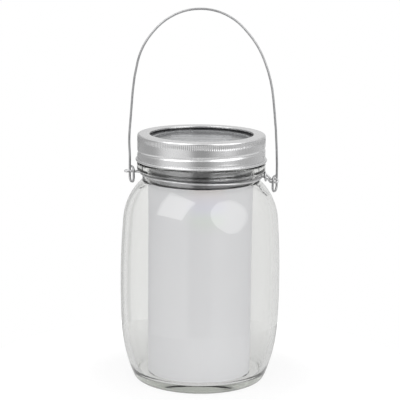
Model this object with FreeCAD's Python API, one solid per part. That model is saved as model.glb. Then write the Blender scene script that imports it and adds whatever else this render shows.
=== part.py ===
import FreeCAD, Part
import math
import os

# Mason jar lantern with a solar lid, in millimetres.
# Origin: centre of the jar's base. +Z is up, -Y is the front, +X is the side of the wrapped ear.

# Glass jar
jar_height = 137.35
body_radius = 45.0
belly_z = 57.0             # height of the widest ring
barrel_radius = 455.0      # slow curve of the barrel
low_z = 31.7               # the barrel turns into the lower curve here
low_radius = 86.0
heel_radius = 4.5
shoulder_drop = 44.35      # from the rim down to where the shoulder curve starts
glass_wall = 3.2
floor_thickness = 5.4
floor_corner = 4.0
bearing_width = 4.5        # flat ring that the jar stands on
punt_depth = 1.6
mouth_radius = 30.2
mouth_edge = 2.0           # rounding under the mouth
finish_wall = 3.4          # glass at the mouth
rim_round = 0.9
bead_drop = 12.4           # from the rim down to the top of the transfer bead
bead_height = 4.9
bead_rise = 2.5
bead_round = 0.9
groove_height = 5.4        # neck groove, which holds the neck wire
groove_depth = 0.7

# Screw thread, right-handed, shared by the glass and the band
thread_pitch = 5.0
thread_height = 1.3
thread_front_drop = 3.97   # from the rim down to the glass thread at the front
thread_turns_below = 1.35
thread_turns_above = 0.25
ridge_height = 1.0         # rolled ridge inside the band
ridge_radius = 0.8
ridge_turns_below = 0.75
ridge_turns_above = 0.3
thread_gap = 0.26
roll_depth = 0.45          # groove that the rolling leaves outside the ridge
roll_radius = 1.6

# Screw band
band_sheet = 0.45
band_gap = 0.5             # between the glass thread and the band's skirt
band_depth = 15.25         # from the top of the band to the underside of the hem
band_corner = 1.2
hem_radius = 0.75
hem_rise = 0.95            # how far the hem stands out of the skirt
top_width = 6.8            # flat ring round the window
lip_depth = 1.1            # turned-down edge of the window

# Gasket and module shell
gasket_thickness = 1.2
gasket_overhang = 0.6
flange_thickness = 1.6
flange_gap = 0.8           # between the flange and the band's skirt
turn_gap = 0.1             # lets the band turn on the flange
lip_gap = 0.35             # round the band's lip
module_gap = 1.0           # between the module and the mouth
module_wall = 1.4
module_depth = 27.1        # from the top of the band to the bottom of the module
recess_wall = 1.0
partition_thickness = 1.5
boss_radius = 2.75
boss_inset = 3.8           # from the inside of the shell to a boss's centre
boss_angles = (90.0, 210.0, 330.0)
cover_thickness = 1.7
cover_gap = 0.1
screw_radius = 1.1
screw_length = 8.0
screw_head_radius = 2.0
screw_head_height = 0.9
screw_slot_length = 2.4
screw_slot_width = 0.5
screw_slot_depth = 0.45
screw_gap = 0.2
pilot_gap = 0.05

# Solar panel
panel_drop = 3.1           # from the top of the band down to the clear resin
panel_gap = 0.15
board_thickness = 1.0
resin_thickness = 1.6
strip_count = 4
strip_length = 34.0
strip_width = 8.1
strip_gap = 0.5
strip_thickness = 0.3
busbar_width = 1.2
busbar_thickness = 0.12
lead_hole_radius = 2.2
lead_hole_y = -8.0

# Circuit board and what is on it
circuit_width = 28.0
circuit_depth = 24.0
circuit_y = -8.0
circuit_thickness = 1.2
post_height = 5.2
post_radius = 1.6
post_inset = 2.5
chip_length = 5.0
chip_width = 4.0
chip_height = 1.4
inductor_radius = 2.6
inductor_height = 4.0
parts_spread = 17.0        # from the chip to the inductor
parts_y = -14.0
lamp_radius = 2.5
lamp_rim = 0.4
lamp_rim_height = 1.0
lamp_length = 8.6
lamp_gap = 0.2
pin_width = 0.5
pin_spacing = 2.54
pin_stub = 0.6
pin_gap = 0.2

# Slide switch, worked from under the lid
switch_y = -14.5
switch_length = 9.0
switch_width = 4.4
switch_height = 3.6
slider_length = 3.0
slider_width = 1.8
slider_reach = 1.7         # into the switch
slider_stub = 1.0          # below the cover
slider_travel = 2.0
slider_gap = 0.3

# Rechargeable cell
battery_y = 12.0
battery_radius = 5.1
battery_length = 29.0
nub_radius = 1.9
nub_height = 1.0
cradle_height = 1.2        # least height of a cradle under the cell
cradle_width = 11.0
cradle_thickness = 2.0
cradle_spacing = 16.0
cradle_side = 2.5          # from the cell's axis down to the top of a cradle
cradle_gap = 0.1
contact_thickness = 0.4
contact_width = 7.0
contact_height = 9.0
contact_wall = 1.4
spring_room = 4.0
spring_wire = 0.6
spring_wide = 3.4
spring_narrow = 2.2
spring_turns = 3
spring_seat = 0.02

# Leads
lead_diameter = 1.1
lead_bend = 0.45           # share of the shorter run that a bend takes up
panel_lead_spacing = 2.0
panel_pad_spacing = 6.4
panel_lead_straight = 4.4  # at each end
battery_pad_spacing = 23.0
battery_pad_y = -2.0

# Rolled diffuser film
film_thickness = 0.3
film_gap = 0.8             # between the film and the mouth that it goes in through
film_lap_gap = 0.35
film_lap_angle = 15.0
film_top_gap = 0.4

# Neck wire
wire_diameter = 1.25
wire_gap = 0.225           # between the ring and the neck
ring_drop = 2.2            # from the transfer bead down to the ring
ring_tilt = 1.6            # degrees, higher at the left
ear_angle = 9.0            # degrees, where the ring runs out into an ear
ear_spacing = 1.75         # between the two legs of an ear
ear_bend = 2.0
left_ear_reach = 5.15      # from the ring to the left eye
right_ear_reach = 7.7
right_ear_tip = 1.7        # from the right eye to the tip of its ear
left_ear_tip = 3.6         # from the left eye to the tip of its ear
left_tip_length = 2.6
left_tip_bend = 0.94
left_tip_width = 3.2
right_ear_drop = 2.4
right_ear_level = 2.5      # level stretch inside the right eye
right_ear_twist = 65.0     # degrees, between the legs and the ring's plane
wrap_reach = 2.2           # from the ring to the wrapped turn
wrap_gap = 0.25
wrap_step = 0.35
full_bend = 0.98           # share of a corner that a tight bend fills

# Bail
eye_width = 6.0
eye_above = 2.7            # from the hinge to the top of the eye, on the wire's centre
eye_below = 5.9
eye_turn = 24.0            # degrees, out of the plane across the hinge
eye_round = 2.6
eye_end_gap = 0.7
leg_start = 6.0            # straight part of a leg above its eye
leg_bend = 12.0
arch_bend = 0.49           # share of the shorter run that a bend of the arch takes up
# Across, and up from the middle of the neck wire's ring
arch_corners = ((-40.5, 19.15), (-37.9, 54.15), (-33.6, 71.65), (-22.0, 85.55), (-8.8, 92.05),
                (6.0, 92.15), (18.5, 86.45), (31.0, 72.55), (38.6, 53.15), (41.6, 25.15))

# Worked-out places
finish_radius = mouth_radius + finish_wall
groove_radius = finish_radius - groove_depth
bead_radius = finish_radius + bead_rise
bead_top = jar_height - bead_drop
bead_bottom = bead_top - bead_height
shoulder_z = jar_height - shoulder_drop
neck_z = bead_bottom - groove_height
crest_radius = finish_radius + thread_height
skirt_inner = crest_radius + band_gap
skirt_radius = skirt_inner + band_sheet
window_radius = skirt_radius - top_width
gasket_top = jar_height + gasket_thickness
flange_top = gasket_top + flange_thickness
band_top = flange_top + turn_gap + band_sheet
module_radius = mouth_radius - module_gap
module_inner = module_radius - module_wall
module_bottom = band_top - module_depth
cover_top = module_bottom + cover_thickness
recess_radius = module_radius - recess_wall
recess_floor = band_top - panel_drop - resin_thickness - board_thickness
partition_z = recess_floor - partition_thickness
circuit_z = cover_top + post_height
circuit_top = circuit_z + circuit_thickness
switch_bottom = circuit_z - switch_height
battery_z = cover_top + cradle_height + cradle_gap + battery_radius
battery_left = (spring_room - nub_height - battery_length) / 2
battery_right = battery_left + battery_length
contact_top = cover_top + contact_height
wire_radius = wire_diameter / 2
ring_radius = groove_radius + wire_gap + wire_radius
ring_z = bead_bottom - ring_drop


def vec(x, y, z):
    return FreeCAD.Vector(x, y, z)


origin = vec(0, 0, 0)
along = vec(1, 0, 0)
up = vec(0, 0, 1)


def disc(radius, z0, z1, x=0.0, y=0.0):
    return Part.makeCylinder(radius, z1 - z0, vec(x, y, z0))


def ring(inner, outer, z0, z1):
    return disc(outer, z0, z1).cut(disc(inner, z0, z1))


def block(x0, x1, y0, y1, z0, z1):
    return Part.makeBox(x1 - x0, y1 - y0, z1 - z0, vec(x0, y0, z0))


def centred_block(x, y, length, width, z0, z1):
    return block(x - length / 2, x + length / 2, y - width / 2, y + width / 2, z0, z1)


def turned(edges):
    return Part.Face(Part.Wire(Part.__sortEdges__(edges))).revolve(origin, up, 360)


# Straight line and arc in the XZ plane, with angles in radians from +X towards +Z
def line(a, b):
    return Part.makeLine(vec(a[0], 0, a[1]), vec(b[0], 0, b[1]))


def arc(centre, radius, start, end):
    points = []
    for angle in (start, (start + end) / 2, end):
        points.append(vec(centre[0] + radius * math.cos(angle), 0, centre[1] + radius * math.sin(angle)))
    return Part.Arc(*points).toShape()


# Straight runs joined by tangent arcs; a radius of None is as large as the runs allow
def bent_path(points, radii):
    edges = []
    last = points[0]
    for i in range(1, len(points) - 1):
        into = points[i] - points[i - 1]
        away = points[i + 1] - points[i]
        before = into.Length if i == 1 else into.Length / 2
        after = away.Length if i == len(points) - 2 else away.Length / 2
        into.normalize()
        away.normalize()
        half_turn = into.getAngle(away) / 2
        tangent = min(before, after) if radii[i] is None else radii[i] * math.tan(half_turn)
        radius = tangent / math.tan(half_turn)
        start = points[i] - into * tangent
        end = points[i] + away * tangent
        inward = (away - into).normalize()
        middle = points[i] + inward * (radius / math.cos(half_turn) - radius)
        if (start - last).Length > 1e-4:
            edges.append(Part.LineSegment(last, start).toShape())
            last = start
        edges.append(Part.Arc(last, middle, end).toShape())
        last = end
    if (points[-1] - last).Length > 1e-4:
        edges.append(Part.LineSegment(last, points[-1]).toShape())
    return Part.Wire(edges)


# Radii that let each bend take up the same share of its shorter run
def shared_bends(points, share):
    radii = []
    for a, b, c in zip(points, points[1:], points[2:]):
        half_turn = (b - a).getAngle(c - b) / 2
        radii.append(share * min((b - a).Length, (c - b).Length) / math.tan(half_turn))
    return radii


def wire_along(path, radius):
    first = path.OrderedEdges[0]
    start = first.valueAt(first.FirstParameter)
    heading = first.tangentAt(first.FirstParameter)
    section = Part.Wire(Part.makeCircle(radius, start, heading))
    return path.makePipeShell([section], True, False)


# Corners of a path that touches a helix about Z in the middle of every run.
# The radius and the height run evenly from the first pair of values to the second.
def helix_corners(radii, heights, start, turns, steps_per_turn):
    count = round(turns * steps_per_turn)
    step = turns * 2 * math.pi / count
    corners = []
    for i in range(count + 2):
        share = (i - 0.5) / count
        angle = start + (i - 0.5) * step
        out = (radii[0] + share * (radii[1] - radii[0])) / math.cos(step / 2)
        height = heights[0] + share * (heights[1] - heights[0])
        corners.append(vec(out * math.cos(angle), out * math.sin(angle), height))
    corners[0] = (corners[0] + corners[1]) / 2
    corners[-1] = (corners[-1] + corners[-2]) / 2
    return corners


def helix_wire(radii, heights, start, turns, steps_per_turn, tube):
    corners = helix_corners(radii, heights, start, turns, steps_per_turn)
    return wire_along(bent_path(corners, [None] * len(corners)), tube)


# Round thread about Z, from its height at the front and its turns below and above there
def thread_solid(radius, tube, front_z, below, above):
    heights = (front_z - below * thread_pitch, front_z + above * thread_pitch)
    start = -math.pi / 2 - below * 2 * math.pi
    return helix_wire((radius, radius), heights, start, below + above, 6, tube)


# Round the circular edges that lie at the given radii and heights
def round_rings(shape, radius, places):
    chosen = []
    for edge in shape.Edges:
        box = edge.BoundBox
        for place in places:
            if box.ZLength < 1e-3 and abs(box.XMax - place[0]) < 1e-2 and abs(box.ZMax - place[1]) < 1e-2:
                chosen.append(edge)
    return shape.makeFillet(radius, chosen)


# Glass jar: the inner wall has the same curve centres as the outer one
def glass_jar():
    low_angle = math.asin((belly_z - low_z) / barrel_radius)
    low_rise = low_z - heel_radius + low_radius * math.sin(low_angle)
    heel_angle = math.asin(low_rise / (low_radius - heel_radius))
    barrel = (body_radius - barrel_radius, belly_z)
    turn_x = barrel[0] + barrel_radius * math.cos(low_angle)
    low = (turn_x - low_radius * math.cos(low_angle), low_z + low_radius * math.sin(low_angle))
    heel = (low[0] + (low_radius - heel_radius) * math.cos(heel_angle), heel_radius)

    # The shoulder leaves the barrel smoothly and ends at the foot of the neck groove
    top_angle = math.asin((shoulder_z - belly_z) / barrel_radius)
    outward = (math.cos(top_angle), math.sin(top_angle))
    start_x = barrel[0] + barrel_radius * outward[0]
    dx = groove_radius - start_x
    dz = neck_z - shoulder_z
    shoulder_radius = -(dx * dx + dz * dz) / (2 * (dx * outward[0] + dz * outward[1]))
    shoulder = (start_x - shoulder_radius * outward[0], shoulder_z - shoulder_radius * outward[1])
    neck_angle = math.acos((groove_radius - shoulder[0]) / shoulder_radius)

    inner_shoulder = shoulder_radius - glass_wall
    mouth_angle = math.acos((mouth_radius - shoulder[0]) / inner_shoulder)
    mouth_foot = shoulder[1] + inner_shoulder * math.sin(mouth_angle)
    inner_low = low_radius - glass_wall
    floor_angle = math.asin((low[1] - floor_thickness) / inner_low)
    floor_edge = low[0] + inner_low * math.cos(floor_angle)
    punt_radius = heel[0] - bearing_width

    round_x = bead_radius - bead_round
    round_bottom = bead_bottom + bead_round
    round_top = bead_top - bead_round
    edges = [
        line((0, punt_depth), (punt_radius - punt_depth, punt_depth)),
        line((punt_radius - punt_depth, punt_depth), (punt_radius, 0)),
        line((punt_radius, 0), (heel[0], 0)),
        arc(heel, heel_radius, -math.pi / 2, -heel_angle),
        arc(low, low_radius, -heel_angle, -low_angle),
        arc(barrel, barrel_radius, -low_angle, top_angle),
        arc(shoulder, shoulder_radius, top_angle, neck_angle),
        line((groove_radius, neck_z), (groove_radius, bead_bottom)),
        line((groove_radius, bead_bottom), (round_x, bead_bottom)),
        arc((round_x, round_bottom), bead_round, -math.pi / 2, 0),
        line((bead_radius, round_bottom), (bead_radius, round_top)),
        arc((round_x, round_top), bead_round, 0, math.pi / 2),
        line((round_x, bead_top), (finish_radius, bead_top)),
        line((finish_radius, bead_top), (finish_radius, jar_height)),
        line((finish_radius, jar_height), (mouth_radius, jar_height)),
        line((mouth_radius, jar_height), (mouth_radius, mouth_foot)),
        arc(shoulder, inner_shoulder, mouth_angle, top_angle),
        arc(barrel, barrel_radius - glass_wall, top_angle, -low_angle),
        arc(low, inner_low, -low_angle, -floor_angle),
        line((floor_edge, floor_thickness), (0, floor_thickness)),
        line((0, floor_thickness), (0, punt_depth)),
    ]
    jar = turned(edges)
    jar = round_rings(jar, floor_corner, [(floor_edge, floor_thickness)])
    jar = round_rings(jar, mouth_edge, [(mouth_radius, mouth_foot)])
    jar = round_rings(jar, rim_round, [(finish_radius, jar_height), (mouth_radius, jar_height)])
    thread = thread_solid(finish_radius, thread_height, jar_height - thread_front_drop,
                          thread_turns_below, thread_turns_above)
    outside = ring(mouth_radius + finish_wall / 2, crest_radius + thread_gap, bead_top, jar_height)
    return jar.fuse(thread.common(outside)).removeSplitter()


# Rolled film: two half circles and a lap that goes in behind the first edge
def film_side(radius, shift, lap):
    arcs = []
    quarter = math.pi / 2
    for r, y, start, end in ((radius, 0, quarter, 3 * quarter),
                             (radius - shift / 2, -shift / 2, 3 * quarter, 5 * quarter),
                             (radius - shift, 0, quarter, quarter + lap)):
        points = []
        for angle in (start, (start + end) / 2, end):
            points.append(vec(r * math.cos(angle), y + r * math.sin(angle), floor_thickness))
        arcs.append(Part.Arc(*points).toShape())
    return arcs


def diffuser_film():
    outer = mouth_radius - film_gap
    inner = outer - film_thickness
    height = module_bottom - film_top_gap - floor_thickness
    shift = film_thickness + film_lap_gap
    lap = math.radians(film_lap_angle)
    out_side = film_side(outer, shift, lap)
    edges = out_side + film_side(inner, shift, lap)
    edges.append(Part.makeLine(vec(0, outer, floor_thickness), vec(0, inner, floor_thickness)))
    heading = vec(-math.sin(lap), math.cos(lap), 0)
    lift = up * floor_thickness
    edges.append(Part.makeLine(heading * (outer - shift) + lift, heading * (inner - shift) + lift))
    print("film flat size", round(sum(edge.Length for edge in out_side), 1), "x", round(height, 1))
    return Part.Face(Part.Wire(Part.__sortEdges__(edges))).extrude(up * height)


# Screw band: one sheet with a hem and a thread rolled into its skirt
def band_line(radius, top, bottom, corner):
    points = [vec(window_radius, 0, top), vec(radius, 0, top), vec(radius, 0, bottom)]
    return bent_path(points, [None, corner, None])


def screw_band():
    hem_z = band_top - band_depth + hem_radius
    under = band_top - band_sheet
    outer_line = band_line(skirt_radius, band_top, hem_z, band_corner)
    inner_line = band_line(skirt_inner, under, hem_z, band_corner - band_sheet)
    sheet = turned(outer_line.Edges + inner_line.Edges
                   + [line((window_radius, band_top), (window_radius, under)),
                      line((skirt_radius, hem_z), (skirt_inner, hem_z))])
    lip = ring(window_radius, window_radius + band_sheet, band_top - lip_depth, under)
    hem = Part.makeTorus(skirt_radius + hem_rise - hem_radius, hem_radius, vec(0, 0, hem_z))
    hem = hem.cut(disc(skirt_inner, hem_z - hem_radius, hem_z + hem_radius))

    # The ridge seats under the glass thread, with the rolled groove behind it
    ridge_centre = skirt_inner - ridge_height + ridge_radius
    reach = thread_height + thread_gap + ridge_radius
    below_thread = math.sqrt(reach ** 2 - (ridge_centre - finish_radius) ** 2)
    ridge_z = jar_height - thread_front_drop - below_thread
    turns = (ridge_turns_below, ridge_turns_above)
    ridge = thread_solid(ridge_centre, ridge_radius, ridge_z, *turns)
    groove = thread_solid(skirt_radius - roll_depth + roll_radius, roll_radius, ridge_z, *turns)
    rolled = sheet.fuse(ridge.common(disc(skirt_radius, hem_z, under))).cut(groove)
    return rolled.fuse([lip, hem]).removeSplitter()


def lid_gasket():
    return ring(mouth_radius, finish_radius + gasket_overhang, jar_height, gasket_top)


def boss_places():
    circle = module_inner - boss_inset
    angles = [math.radians(angle) for angle in boss_angles]
    return [(circle * math.cos(angle), circle * math.sin(angle)) for angle in angles]


def module_housing():
    step_radius = window_radius + band_sheet + lip_gap
    step_z = band_top - lip_depth - lip_gap
    flange = ring(recess_radius, skirt_inner - flange_gap, gasket_top, flange_top)
    flange = flange.cut(disc(step_radius, step_z, flange_top))
    shell = ring(recess_radius, module_radius, recess_floor, gasket_top)
    lower = ring(module_inner, module_radius, module_bottom, recess_floor)
    partition = disc(module_radius, partition_z, recess_floor)
    housing = flange.fuse([shell, lower, partition])
    pilot_top = module_bottom + screw_head_height + screw_length + screw_gap
    for x, y in boss_places():
        boss = disc(boss_radius, cover_top, partition_z, x, y)
        housing = housing.fuse(boss).cut(disc(screw_radius + pilot_gap, cover_top, pilot_top, x, y))
    housing = housing.cut(disc(lead_hole_radius, partition_z, recess_floor, 0, lead_hole_y))
    return housing.removeSplitter()


def panel_board():
    return disc(recess_radius - panel_gap, recess_floor, recess_floor + board_thickness)


def strips(width, thickness, z0):
    row = []
    for i in range(strip_count):
        y = (i - (strip_count - 1) / 2) * (strip_width + strip_gap)
        row.append(centred_block(0, y, strip_length, width, z0, z0 + thickness))
    return Part.makeCompound(row)


def solar_cells():
    return strips(strip_width, strip_thickness, recess_floor + board_thickness)


def cell_busbars():
    return strips(busbar_width, busbar_thickness, recess_floor + board_thickness + strip_thickness)


def panel_resin():
    z0 = recess_floor + board_thickness
    resin = disc(recess_radius - panel_gap, z0, z0 + resin_thickness)
    return resin.cut(solar_cells()).cut(cell_busbars())


def post_places():
    half_x = circuit_width / 2 - post_inset
    half_y = circuit_depth / 2 - post_inset
    return [(sx * half_x, circuit_y + sy * half_y) for sx in (-1, 1) for sy in (-1, 1)]


def pin_places():
    return [-pin_spacing / 2, pin_spacing / 2]


def circuit_board():
    board = centred_block(0, circuit_y, circuit_width, circuit_depth, circuit_z, circuit_top)
    hole = pin_width + pin_gap
    for x in pin_places():
        board = board.cut(centred_block(x, 0, hole, hole, circuit_z, circuit_top))
    return board


def driver_chip():
    top = circuit_top + chip_height
    return centred_block(-parts_spread / 2, parts_y, chip_length, chip_width, circuit_top, top)


def inductor():
    return disc(inductor_radius, circuit_top, circuit_top + inductor_height, parts_spread / 2, parts_y)


def led_lamp():
    base = cover_top + lamp_rim_height
    dome_z = base - lamp_length + lamp_radius
    rim = disc(lamp_radius + lamp_rim, cover_top, base)
    dome = Part.makeSphere(lamp_radius, vec(0, 0, dome_z))
    return rim.fuse([disc(lamp_radius, dome_z, base), dome]).removeSplitter()


def led_leads():
    bottom = cover_top + lamp_rim_height
    top = circuit_top + pin_stub
    return Part.makeCompound([centred_block(x, 0, pin_width, pin_width, bottom, top) for x in pin_places()])


# Room for the slider and its travel, in the switch and in the cover
def slider_slot(z0, z1):
    room = slider_length + slider_travel + 2 * slider_gap
    return centred_block(slider_travel / 2, switch_y, room, slider_width + 2 * slider_gap, z0, z1)


def switch_body():
    body = centred_block(0, switch_y, switch_length, switch_width, switch_bottom, circuit_z)
    return body.cut(slider_slot(switch_bottom, switch_bottom + slider_reach + slider_gap))


def switch_slider():
    return centred_block(0, switch_y, slider_length, slider_width, module_bottom - slider_stub,
                         switch_bottom + slider_reach)


def battery_cell():
    body = Part.makeCylinder(battery_radius, battery_length, vec(battery_left, battery_y, battery_z), along)
    nub = Part.makeCylinder(nub_radius, nub_height, vec(battery_right, battery_y, battery_z), along)
    return body.fuse(nub).removeSplitter()


# Inner faces of the two contact plates along X, and the way from there to the wall behind
def contact_faces():
    return (battery_left - spring_room, -1), (battery_right + nub_height, 1)


def contact_block(face, side, start, end):
    x0, x1 = sorted((face + side * start, face + side * end))
    return block(x0, x1, battery_y - contact_width / 2, battery_y + contact_width / 2, cover_top, contact_top)


def battery_plates():
    return Part.makeCompound([contact_block(x, side, 0, contact_thickness) for x, side in contact_faces()])


# Tapered coil from its plate to the flat end of the cell
def battery_spring():
    seat = spring_wire / 2 + spring_seat
    room = spring_room - 2 * seat
    coil = helix_wire((spring_wide, spring_narrow), (seat, seat + room), 0, spring_turns, 4, spring_wire / 2)
    print("spring least gap", round(room / spring_turns - spring_wire, 2))
    coil.rotate(origin, vec(0, 1, 0), 90)
    coil.translate(vec(battery_left - spring_room, battery_y, battery_z))
    return coil


def module_cover():
    cover = disc(module_inner - cover_gap, module_bottom, cover_top)
    for x, y in post_places():
        cover = cover.fuse(disc(post_radius, cover_top, circuit_z, x, y))
    hollow = Part.makeCylinder(battery_radius + cradle_gap, battery_length,
                               vec(battery_left, battery_y, battery_z), along)
    cradle_top = battery_z - cradle_side
    for side in (-1, 1):
        x = (battery_left + battery_right + side * cradle_spacing) / 2
        cradle = centred_block(x, battery_y, cradle_thickness, cradle_width, cover_top, cradle_top)
        cover = cover.fuse(cradle.cut(hollow))
    for x, side in contact_faces():
        cover = cover.fuse(contact_block(x, side, contact_thickness, contact_thickness + contact_wall))
    cover = cover.cut(disc(lamp_radius + lamp_gap, module_bottom, cover_top))
    cover = cover.cut(slider_slot(module_bottom, cover_top))
    head_z = module_bottom + screw_head_height
    for x, y in boss_places():
        cover = cover.cut(disc(screw_radius + screw_gap, module_bottom, cover_top, x, y))
        cover = cover.cut(disc(screw_head_radius + screw_gap, module_bottom, head_z, x, y))
    return cover.removeSplitter()


def cover_screws():
    screws = []
    head_z = module_bottom + screw_head_height
    slot_z = module_bottom + screw_slot_depth
    for x, y in boss_places():
        screw = disc(screw_head_radius, module_bottom, head_z, x, y)
        screw = screw.fuse(disc(screw_radius, head_z, head_z + screw_length, x, y)).removeSplitter()
        for length, width in ((screw_slot_length, screw_slot_width), (screw_slot_width, screw_slot_length)):
            screw = screw.cut(centred_block(x, y, length, width, module_bottom, slot_z))
        screws.append(screw)
    return Part.makeCompound(screws)


def lead(name, points):
    radii = shared_bends(points, lead_bend)
    path = bent_path(points, [None] + radii + [None])
    print(name, "length", round(path.Length, 1), "radii", [round(radius, 1) for radius in radii])
    return wire_along(path, lead_diameter / 2)


def panel_lead(side):
    x = side * panel_lead_spacing / 2
    pad = side * panel_pad_spacing / 2
    return lead("panel lead", [vec(x, lead_hole_y, recess_floor),
                               vec(x, lead_hole_y, recess_floor - panel_lead_straight),
                               vec(pad, lead_hole_y, circuit_top + panel_lead_straight),
                               vec(pad, lead_hole_y, circuit_top)])


def battery_lead(side):
    x = [face + way * contact_thickness / 2 for face, way in contact_faces() if way == side][0]
    pad = side * battery_pad_spacing / 2
    middle = (contact_top + partition_z) / 2
    return lead("battery lead", [vec(x, battery_y, contact_top), vec(x, battery_y, middle),
                                 vec((x + 2 * pad) / 3, (battery_y + 2 * battery_pad_y) / 3, middle),
                                 vec(pad, battery_pad_y, (middle + circuit_top) / 2),
                                 vec(pad, battery_pad_y, circuit_top)])


# The neck wire is drawn flat, about the ring's centre, and then tilted and lifted
def tilt(point):
    angle = math.radians(ring_tilt)
    return vec(point.x * math.cos(angle) + point.z * math.sin(angle), point.y,
               ring_z - point.x * math.sin(angle) + point.z * math.cos(angle))


def left_ear():
    half = ear_spacing / 2
    wide = left_tip_width / 2
    tip = ring_radius + left_ear_reach + left_ear_tip
    neck = tip - left_tip_length
    leg = [(neck, half), ((neck + tip) / 2, wide), (tip, wide)]
    points = [vec(-x, y, 0) for x, y in leg] + [vec(-x, -y, 0) for x, y in reversed(leg)]
    return points, [left_tip_bend] * len(points)


# Right ear: level at the wrapped turn, then down to the eye, with one leg above the other
def right_ear():
    half = ear_spacing / 2
    twist = math.radians(right_ear_twist)
    apart = vec(0, math.cos(twist), math.sin(twist)) * half
    eye = ring_radius + right_ear_reach
    stations = [vec(ring_radius + wrap_reach + wire_diameter, 0, 0),
                vec(eye - right_ear_level, 0, -right_ear_drop),
                vec(eye + right_ear_tip, 0, -right_ear_drop)]
    points = [station - apart for station in stations]
    points += [station + apart for station in reversed(stations)]
    points.append(vec(ring_radius + wire_diameter, 0, 0) + apart)
    tight = half * full_bend
    return points, [wire_diameter] * 2 + [tight] * 2 + [wire_diameter] * 2 + [None]


# Wrapped turn round both legs of the right ear, from its free end under them
def wrapped_turn():
    wrap = ear_spacing / 2 + wire_diameter + wrap_gap
    x = ring_radius + wrap_reach
    corners = [(0.5, -1), (-1, -1), (-1, 1), (1, 1)]
    points = [vec(x + (1.5 - i) * wrap_step, wrap * y, wrap * z) for i, (y, z) in enumerate(corners)]
    bend = wrap * full_bend * full_bend
    return points, [None, bend, bend, wire_diameter]


# One wire: the wrapped turn, round the back, the left ear, round the front, the right ear
def neck_wire():
    angle = math.radians(ear_angle)
    half = ear_spacing / 2
    arcs = 3
    step = (math.pi - 2 * angle) / arcs
    touch = vec(ring_radius * math.cos(angle), ring_radius * math.sin(angle), 0)
    slope = math.tan(angle)
    root = touch.x + (touch.y - half) * slope
    reach = ring_radius / math.cos(step / 2)
    halves = []
    for side in (0, math.pi):
        directions = [side + angle + (i + 0.5) * step for i in range(arcs)]
        halves.append([vec(reach * math.cos(d), reach * math.sin(d), 0) for d in directions])
    round_ring = [ring_radius] * arcs
    points, bends = wrapped_turn()
    leave_y = points[-1].y + wire_radius
    points += [vec(touch.x + (touch.y - leave_y) * slope, leave_y, 0)] + halves[0] + [vec(-root, half, 0)]
    bends += [wire_diameter] + round_ring + [ear_bend]
    ear_points, ear_bends = left_ear()
    points += ear_points + [vec(-root, -half, 0)] + halves[1] + [vec(root, -half, 0)]
    bends += ear_bends + [ear_bend] + round_ring + [wire_diameter]
    ear_points, ear_bends = right_ear()
    path = bent_path([tilt(point) for point in points + ear_points], bends + ear_bends)
    print("neck wire length", round(path.Length, 1))
    return wire_along(path, wire_radius)


# Bail: an arch with an eye at each end, hinged on the line through both eyes
left_eye = tilt(vec(-ring_radius - left_ear_reach, 0, 0))
right_eye = tilt(vec(ring_radius + right_ear_reach, 0, -right_ear_drop))


# One end of the bail, from the eye's free end round to the leg; side is -1 at the left
def eye_points(hinge, side):
    turn = math.radians(eye_turn)
    across = vec(side * math.sin(turn), math.cos(turn), 0)
    half = eye_width / 2
    outline = [(half - wire_diameter - eye_end_gap, eye_above), (-half, eye_above), (-half, -eye_below),
               (half, -eye_below), (half, eye_above + leg_start)]
    return [hinge + across * h + up * z for h, z in outline]


def bail_handle():
    left = eye_points(left_eye, -1)
    right = eye_points(right_eye, 1)
    arch = [vec(x, 0, ring_z + rise) for x, rise in arch_corners]
    points = left + arch + right[::-1]
    arch_radii = shared_bends(left[-1:] + arch + right[-1:], arch_bend)
    eye_radii = [eye_round] * 3
    bends = [None] + eye_radii + [leg_bend] + arch_radii + [leg_bend] + eye_radii + [None]
    path = bent_path(points, bends)
    print("bail length", round(path.Length, 1), "arch radii", [round(radius, 1) for radius in arch_radii])
    return wire_along(path, wire_radius)


shapes = {
    "glass_jar": glass_jar(),
    "diffuser_film": diffuser_film(),
    "screw_band": screw_band(),
    "lid_gasket": lid_gasket(),
    "module_housing": module_housing(),
    "panel_board": panel_board(),
    "solar_cells": solar_cells(),
    "cell_busbars": cell_busbars(),
    "panel_resin": panel_resin(),
    "circuit_board": circuit_board(),
    "driver_chip": driver_chip(),
    "inductor": inductor(),
    "led_lamp": led_lamp(),
    "led_leads": led_leads(),
    "switch_body": switch_body(),
    "switch_slider": switch_slider(),
    "battery_cell": battery_cell(),
    "battery_plates": battery_plates(),
    "battery_spring": battery_spring(),
    "module_cover": module_cover(),
    "cover_screws": cover_screws(),
    "panel_lead_red": panel_lead(1),
    "panel_lead_black": panel_lead(-1),
    "battery_lead_red": battery_lead(1),
    "battery_lead_black": battery_lead(-1),
    "neck_wire": neck_wire(),
    "bail_handle": bail_handle(),
}

os.makedirs("parts", exist_ok=True)
for name, shape in shapes.items():
    shape.exportStep("parts/" + name + ".step")
    print(name, "valid" if shape.isValid() else "not valid", round(shape.Volume, 2), len(shape.Solids))
print("hinge line", [round(v, 3) for v in left_eye], [round(v, 3) for v in right_eye])
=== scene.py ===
from math import acos, asin, atan2, ceil, cos, hypot, pi, radians, sin, sqrt, tan

import bmesh
import bpy
from mathutils import Matrix, Vector


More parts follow.
